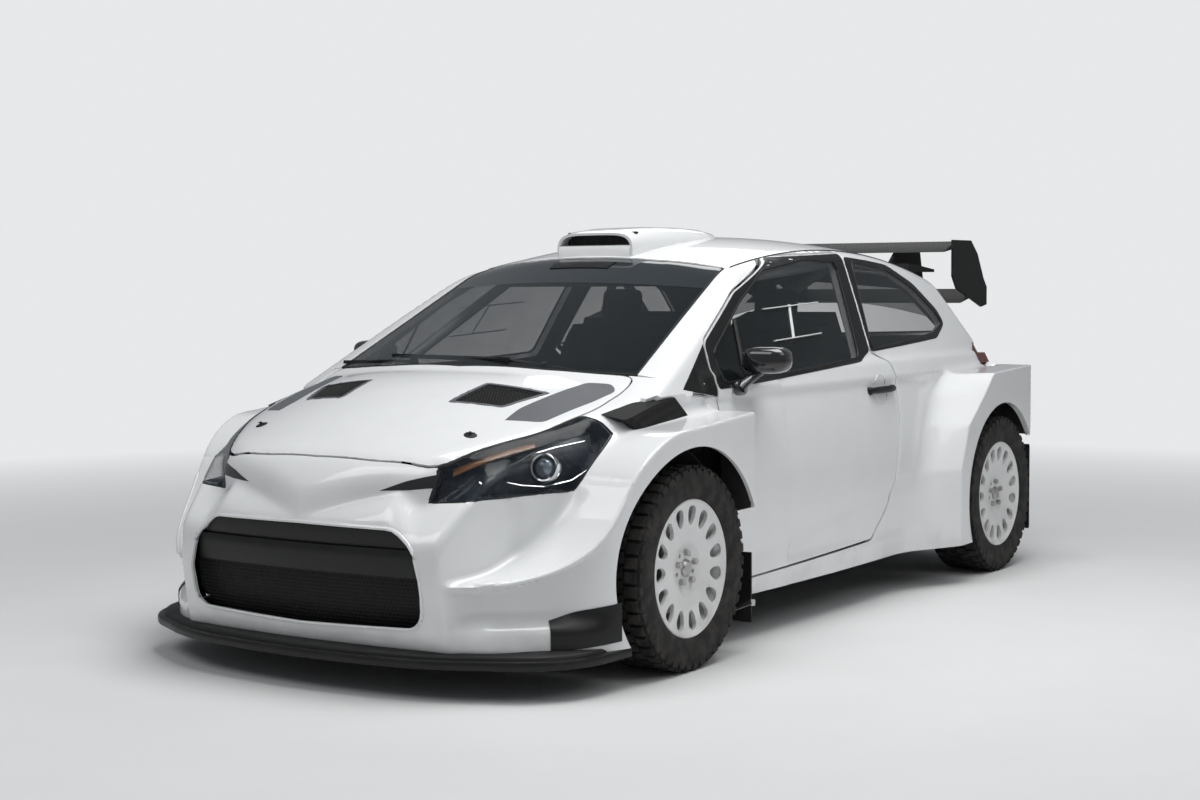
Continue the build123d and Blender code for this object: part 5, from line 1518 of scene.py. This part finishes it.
# %% Trim
def spread_from(points, factor):
    """A flat outline made larger or smaller about its middle."""
    middle = np.mean(np.array(points, float), axis=0)
    return [tuple(middle + (np.array(p) - middle) * factor) for p in points]


on_chassis, on_bonnet, on_doors = pair("chassis"), pair("bonnet"), pair("door_{}")


def trim(name, look, outline, rows, slot_name, material, lift=1.6, holes=()):
    """A thin sheet on the skin, on both sides of the car."""
    made = panel(name, look, loop_of(outline), list(holes), pitch=14.0, wall=3.0, turn_in=0.5, lift=lift)
    both_sides(made, rows, slot_name, material)


def seal(name, loop, radius, inset=0.0):
    """A rubber bead along a closed loop on the skin."""
    loop = loop - field_normal(skin, loop) * inset
    line = [Vector(p) for p in loop[::2]]
    rings = []
    for k, point in enumerate(line):
        axis, side, up = basis(line[(k + 1) % len(line)] - line[k - 1])
        rings.append(ring_at(point, side, up, radius, 6))
    points, faces = loft(rings, close_ends=False)
    last = (len(rings) - 1) * 6
    turn_count = min(range(6), key=lambda s: sum((Vector(points[last + i]) - Vector(points[(i + s) % 6])).length
                                                 for i in range(6)))
    faces += [(last + i, last + (i + 1) % 6, (i + 1 + turn_count) % 6, (i + turn_count) % 6) for i in range(6)]
    return Heap().add((points, faces)).make(name)


trim("beak_strip_left", ROUND_NOSE, near([(268, -1928, 604), (350, -1896, 634), (434, -1848, 652), (430, -1858, 614),
     (345, -1900, 606), (268, -1928, 604)]), on_chassis, "gloss_black", gloss_black)
trim("corner_panel_left", ROUND_NOSE, near([(756, -1740, 238), (880, -1548, 268), (880, -1548, 152),
     (756, -1740, 138), (756, -1740, 238)]), on_chassis, "black_plastic", satin_black, lift=4.0)
trim("leaf_panel_left", FROM_ABOVE, on_top(softened([(469, -1566), (462, -1480), (515, -1184), (590, -1150),
     (626, -1180), (618, -1300), (577, -1514), (469, -1566)], 22)), on_bonnet, "black_plastic", leaf_grey, lift=1.0)
trim("mirror_triangle_left", FROM_LEFT, on_side([(-985, 872), (-782, 1012), (-814, 842), (-985, 872)]), on_chassis,
     "black_plastic", satin_black)
trim("door_frame_left", FROM_LEFT, on_side(softened([(-300, 886), (-796, 864), (-768, 1009), (-752, 1026), (-465, 1183),
     (-72, 1309), (481, 1327), (400, 952), (290, 917), (-300, 886)], 16)), on_doors, "black_plastic", satin_black,
     holes=[glass_shape])
trim("quarter_frame_left", FROM_LEFT, on_side(softened([(500, 952), (416, 949), (494, 1316), (700, 1303), (885, 1286),
     (1100, 1209), (1268, 1096), (1292, 1040), (1140, 981), (500, 952)], 26)), on_chassis, "black_plastic",
     satin_black, holes=[quarter_hole])
both_sides(seal("handle_ring_left", on_side(circle(396, 806, 56, 0, 356)), 1.8), on_doors, "body_paint", body_white)

both_sides(seal("door_seal_left", glass_shape, 4.5), on_doors, "black_plastic", dark_plastic)
both_sides(seal("quarter_seal_left", quarter_hole, 4.5), on_chassis, "black_plastic", dark_plastic)
both_sides(seal("lamp_seal_left", lamp_loop, 3.0, 3.0), on_chassis, "black_plastic", dark_plastic)
dress(seal("mouth_rim", mouth_hole, 6.5, 2.5), "chassis", [], "body_paint", body_white)
dress(seal("screen_seal", screen_outline, 4.0, 4.0), "chassis", [], "black_plastic", dark_plastic)
dress(seal("rear_screen_seal", rear_glass_hole, 5.0, 4.0), "tailgate", [], "black_plastic", dark_plastic)

# %% [markdown]
# ## Bonnet details
# Two vents let hot air out: each has a thin grey frame round a black honeycomb, above a dark duct. Two pins
# hold the bonnet down.

# %% Vents, door panes and pins
def vent_loop(factor, corner=9, form=skin):
    """The vent's outline made larger or smaller."""
    return opening(spread_from(VENT, factor), lambda points: on_top(points, form), corner)


vent_frame = panel("vent_frame_left", FROM_ABOVE, vent_loop(1.07, 12), [vent_loop(0.93)], pitch=16.0, wall=8.0,
                   lift=1.5)
both_sides(vent_frame, on_bonnet, "black_plastic", leaf_grey)
vent_net = net_on("vent_net_left", net, FROM_ABOVE, vent_loop(0.97), sunk_skin(5), 11.0, 1.4)
duct_form = sunk_skin(11)
vent_floor = panel("vent_floor_left", FROM_ABOVE, vent_loop(0.98, form=duct_form), pitch=20.0, wall=1.5,
                   form=duct_form)
both_sides(vent_net, pair("bonnet", "bonnet_vents"), "black_plastic")
both_sides(vent_floor, pair("bonnet", "bonnet_vents"), "black_plastic", dark_plastic)

pane = panel("door_pane_left", FROM_LEFT, glass_shape, pitch=24.0, wall=4.0, lift=-3.0)
both_sides(pane, pair("door_{}", "door_glass_{}"), "clear_glass", clear_glass)
pins = Heap()
pin_spot = on_top([(431, -1690), (432, -1690)])[0]
pin_axis = field_normal(skin, pin_spot[None])[0]
pins.add(lathe([(0.5, 4), (9, 4), (11, 3), (20, 3), (23, 1), (23, -3), (0.5, -3)], pin_spot, pin_axis, 28, 0.72))
pins.add(lathe([(0.5, 12), (4, 12), (5, 9), (5, 0)], pin_spot, pin_axis, 14))
pins.add(rod([pin_spot + pin_axis * 8 + np.array((-15, 0, 0)), pin_spot + pin_axis * 8 + np.array((15, 4, 0))], 1.6, 8))
both_sides(pins.make("bonnet_pin_left"), on_bonnet, "black_plastic", dark_plastic)
print("vent net faces:", len(vent_net.data.polygons), "pane faces:", len(pane.data.polygons))

# %% [markdown]
# ## Scoop, mirrors and handles
# The roof scoop is lofted from cross-sections: a wide flat tunnel with round shoulders that sinks into the
# roof behind. Mirrors and handles are blocks with soft edges, because moulded parts have no sharp ones.

# %% Roof scoop
SCOOP_FOOT = 1300


def scoop_section(y, half, top, hollow=0.0):
    """An upright section across the car: a rounded top over two feet."""
    ring = []
    for i in range(29):
        angle = math.pi * i / 28
        x = math.copysign(abs(math.cos(angle)) ** 0.42, math.cos(angle)) * (half - hollow)
        z = SCOOP_FOOT + (top - SCOOP_FOOT - hollow) * abs(math.sin(angle)) ** 0.42
        ring.append((x, y, z))
    return ring


SCOOP = [(-368, 168, 1404), (-330, 171, 1414), (-240, 173, 1424), (-100, 172, 1430), (60, 168, 1431),
         (200, 158, 1427), (300, 140, 1418), (370, 112, 1408), (396, 88, 1400)]
rings = [scoop_section(y, half, top) for y, half, top in SCOOP]
mouth_rings = [scoop_section(-200, 172, 1421, 12), scoop_section(*SCOOP[0], 9)]
scoop = Heap().add(loft([*mouth_rings, *rings])).make("roof_scoop_shell")
dress(scoop, "chassis", ["roof_scoop"], "body_paint", body_white)
sill = Heap().add(loft([[(x, y, z) for x, z in ((-156, SCOOP_FOOT), (156, SCOOP_FOOT), (158, top), (-158, top))]
                        for y, top in ((-374, 1342), (-366, 1356), (-340, 1360), (-250, 1356))]))
dress(sill.make("roof_scoop_sill"), "chassis", ["roof_scoop"], "body_paint", body_white)
dark = Heap().add(loft([[(x, y, z) for x, z in ((-152, 1352), (152, 1352), (150, 1408), (-150, 1408))]
                        for y in (-320, -300)]))
for x in (-116, -58, 0, 58, 116):
    dark.add(rod([(x, -345, 1360), (x, -345, 1405)], 3.0, 8))
dress(dark.make("roof_scoop_throat"), "chassis", ["roof_scoop"], "black_plastic", dark_plastic)
slot = panel("roof_slot", FROM_SCREEN, loop_of(near([(-135, -432, 1296), (135, -432, 1296), (128, -478, 1275),
             (-128, -478, 1275), (-135, -432, 1296)])), pitch=20.0, wall=3.0, lift=2.0)
dress(slot, "chassis", [], "gloss_black", satin_black)

# %% Mirrors, handles and wipers
mirror = Heap().add(soft_block((862, -612, 957), (84, 56, 46), 3.2, 6))
mirror.add(rod([(850, -618, 930), (834, -640, 905), (812, -672, 880), (800, -684, 864)], [24, 17, 19, 27], 14, 0.8))
mirror.add(soft_block((801, -684, 864), (10, 40, 26), 3.0))
both_sides(mirror.make("mirror_shell_left"), pair("door_{}", "mirror_{}"), "gloss_black", gloss_black)
glass = Heap().add(soft_block((857, -557, 957), (68, 3, 35), 5.0, 6))
both_sides(glass.make("mirror_glass_left"), on_doors, "clear_glass", chrome)

handle = Heap().add(soft_block((812, 396, 806), (12, 112, 13), 3.2, 0.6))
handle.add(soft_block((802, 300, 805), (14, 16, 15), 3.0))
handle.add(soft_block((800, 500, 807), (12, 12, 13), 3.0))
both_sides(handle.make("door_pull_left"), pair("door_{}", "door_handle_{}"), "gloss_black", satin_black)
wipers = Heap()
for start, bend, tip in (((300, -1118, 948), (120, -1142, 968), (-330, -1092, 965)),
                         ((-250, -1120, 951), (-420, -1104, 950), (-590, -1052, 935))):
    wipers.add(lathe([(0.5, 10), (12, 9), (14, 0), (14, -14)], start, (0, -0.42, 0.9), 16))
    wipers.add(rod([start, bend, tip], [6, 5, 4], 8))
    wipers.add(rod([Vector(bend) + Vector((60, -8, -2)), Vector(tip) + Vector((-60, 22, 2))], [4, 4], 6, 2.2))
dress(wipers.make("wipers"), "chassis", [], "black_plastic", satin_black)

# %% [markdown]
# ## Splitter and window frames
# The splitter is a flat blade with a soft edge. A second, narrower plate stands on it and meets the white
# bumper. The side windows of a rally car are plastic, with a small sliding pane in a pale frame.

# %% Splitter and sliding panes
SPLITTER_EDGE = [(0, -2042), (240, -2032), (500, -1990), (790, -1840), (880, -1700), (889, -1500)]
outer = softened(SPLITTER_EDGE, 130, 8)
blade_edge = [(-x, y) for x, y in outer[:0:-1]] + outer
blade_rings = []
for inset, z in ((9, 95.5), (3, 97), (0.5, 101), (0.5, 117), (3, 122), (9, 124.5)):
    blade_rings.append([(x, y, z) for x, y in grown(blade_edge, -inset)])
dress(Heap().add(loft(blade_rings)).make("splitter_blade"), "chassis", ["front_splitter"], "black_plastic",
      satin_black)
outside, inside = grown(outer, -20), grown(outer, -90)
sections = []
for (ax, ay), (bx, by) in zip(outside, inside):
    sections.append([(ax, ay, 124.5), (ax - 1, ay + 1, 132), (ax - 5, ay + 5, 137), (bx, by, 146), (bx, by, 124.5)])
other_half = [[(-x, y, z) for x, y, z in section] for section in sections[:0:-1]]
step_plate = Heap().add(loft(other_half + sections))
dress(step_plate.make("splitter_step"), "chassis", [], "black_plastic", dark_plastic)

pane_form = sunk_skin(-1)
frame_bars = Heap()
BARS = [[(-316, 1123), (125, 1143)], [(-315, 1011), (61, 1030)], [(-113, 1136), (-170, 1018)]]
for bar in BARS:
    frame_bars.add(rod(on_side(bar, pane_form)[::3], 5.5, 8, 0.5))
both_sides(frame_bars.make("pane_frame_left"), on_doors, "clear_glass", cage_white)
divider = Heap().add(rod(on_side([(-532, 1092), (-598, 890)], pane_form)[::3], 8, 8, 0.6))
both_sides(divider.make("pane_divider_left"), on_doors, "black_plastic", satin_black)

# %% Roof gutters and the lips of the front arches
gutter = Heap().add(rod(on_top([(541, -300), (541, 1290)])[::3], 3.2, 8, 0.7))
both_sides(gutter.make("roof_gutter_left"), on_chassis, "black_plastic", satin_black)
edge = lip_line(-1862, -1522)
edge[2:-2, 0] = np.convolve(edge[:, 0], np.ones(5) / 5, "valid")
edge[:, 2] -= 4
edge = edge[::2]
lip_bar = Heap().add(rod(edge, [3.0] + [7.0] * (len(edge) - 2) + [3.0], 12))
both_sides(lip_bar.make("arch_lip_left"), on_chassis, "body_paint", body_white)

# %% [markdown]
# ## Inside the cab
# The carbon bucket seats carry thin pads: a crowned seat pad, a back pad and a head pad, each a closed soft
# form with two sewn channels. The harness is flat webbing.

# %% Pads and harness
SEAT_X = 360


def pad(name, centre, half, lean):
    """A crowned pad, leaned back by an angle about the car's cross axis."""
    points, faces = soft_block((0, 0, 0), half, 5.0, 0.0, 22, 44)
    angle = math.radians(lean)
    placed = []
    for x, y, z in points:
        u, v = x / half[0], y / half[1]
        z = z * (0.72 + 0.28 * (1 - u * u) * (1 - v * v)) if z > 0 else z * 0.8
        z -= 5.0 * math.exp(-((abs(v) - 0.33) / 0.035) ** 2) * (z > 0) * (1 - abs(u) ** 6)
        x *= 1 - 0.035 * (1 - v * v)
        y *= 1 - 0.025 * (1 - u * u)
        placed.append((centre[0] + x, centre[1] + y * math.cos(angle) - z * math.sin(angle),
                       centre[2] + y * math.sin(angle) + z * math.cos(angle)))
    made = Heap().add((placed, faces)).make(name, 180)
    dress(made, "chassis", [], "soft_grip", seat_cloth)


for side, hand in SIDES:
    seat = hand * SEAT_X
    pad(f"seat_pad_{side}", (seat, 5, 372), (170, 170, 26), -6)
    pad(f"back_pad_{side}", (seat, 300, 690), (165, 200, 24), 77)
    pad(f"head_pad_{side}", (seat, 372, 1110), (95, 85, 22), 86)
    straps = Heap()
    lap_belt = [(seat - 165, 150, 420), (seat - 90, 100, 440), (seat + 90, 100, 440), (seat + 165, 150, 420)]
    shoulder_belts = [[(seat + x * 0.8, 400, 1010), (seat + x, 335, 985), (seat + x, 250, 790),
                       (seat + x * 0.9, 190, 560), (seat + x * 0.3, 130, 430)] for x in (-70, 70)]
    for line, corner in ((shoulder_belts[0], 60), (shoulder_belts[1], 60), (lap_belt, 50)):
        straps.add(rod(softened(line, corner, 5), 24, 8, 0.09))
    straps.add(lathe([(0.5, 9), (26, 9), (30, 5), (30, -4), (0.5, -4)], (seat, 108, 446), (0, -0.6, 0.8), 24))
    dress(straps.make(f"harness_{side}"), "chassis", [], "soft_grip", strap_black)
print("pads and straps made")

# %% [markdown]
# ## Floor and light
# The floor is pale and plain. Large soft lamps give long even reflections on the paint. The world looks
# nearly white to the camera, while the light that reaches the car stays moderate. Far from the car the floor
# fades into the same tone, so no horizon shows.

# %% Floor, world and lamps
BACKDROP = (0.80, 0.81, 0.82, 1)
HAZE_FROM, HAZE_FULL = 2.6, 7.5
floor_mesh = bpy.data.meshes.new("floor")
floor_mesh.from_pydata([(-30, -30, 0), (30, -30, 0), (30, 30, 0), (-30, 30, 0)], [], [(0, 1, 2, 3)])
add_object("floor", floor_mesh)
floor_finish = Finish("floor_pale", Roughness=0.9, Specular_IOR_Level=0.2)
floor_finish.feed(Base_Color=floor_finish.blend(floor_finish.noise(3.0, 4.0), shade(0.66), shade(0.70)))
far = floor_finish.node("ShaderNodeVectorMath", {"operation": "LENGTH"}, {0: floor_finish.coordinates()}, 1)
haze = floor_finish.node("ShaderNodeEmission", {}, {"Color": BACKDROP, "Strength": 1.0})
camera_ray = floor_finish.node("ShaderNodeLightPath", output="Is Camera Ray")
mixed = floor_finish.node("ShaderNodeMixShader", {}, {0: far.over(HAZE_FROM, HAZE_FULL) * camera_ray,
                          1: Wire(floor_finish, floor_finish.shader.outputs[0]), 2: haze})
floor_finish.tree.links.new(mixed.socket, floor_finish.tree.nodes["Material Output"].inputs["Surface"])
floor_mesh.materials.append(floor_finish.material)

world = scene.world = bpy.data.worlds.new("studio")
world.use_nodes = True
studio = Tree(world.node_tree)
moderate = studio.tree.nodes["Background"]
moderate.inputs["Color"].default_value = (0.86, 0.90, 0.95, 1)
moderate.inputs["Strength"].default_value = 0.24
white = studio.node("ShaderNodeBackground", {}, {"Color": BACKDROP, "Strength": 1.0})
seen = studio.node("ShaderNodeLightPath", output="Is Camera Ray")
through = studio.node("ShaderNodeLightPath", output="Is Transmission Ray")
either = seen.maths("MAXIMUM", seen, through)
chosen = studio.node("ShaderNodeMixShader", {}, {0: either, 1: Wire(studio, moderate.outputs[0]), 2: white})
studio.tree.links.new(chosen.socket, studio.tree.nodes["World Output"].inputs["Surface"])


def lamp(name, place, target, size, power):
    """A soft rectangular lamp that looks at a point."""
    data = bpy.data.lights.new(name, "AREA")
    data.shape, data.size, data.size_y, data.energy = "RECTANGLE", size[0], size[1], power
    away = (Vector(place) - Vector(target)).normalized()
    turned = away.to_track_quat("Z", "Y").to_matrix().to_4x4()
    add_object(name, data).matrix_world = Matrix.Translation(place) @ turned


lamp("sky_panel", (1.2, -0.6, 5.4), (0, 0, 0.6), (3.6, 3.6), 245)
lamp("left_panel", (5.0, -1.0, 4.4), (0.4, 0, 0.6), (4.0, 3.0), 54)
lamp("nose_panel", (-1.5, -5.2, 5.0), (-0.2, -0.6, 0.6), (4.0, 2.5), 76)
lamp("tail_panel", (-2.5, 5.0, 4.6), (0, 0.6, 0.7), (3.0, 2.5), 40)

# %% Last step
scene.view_settings.view_transform = "Standard"
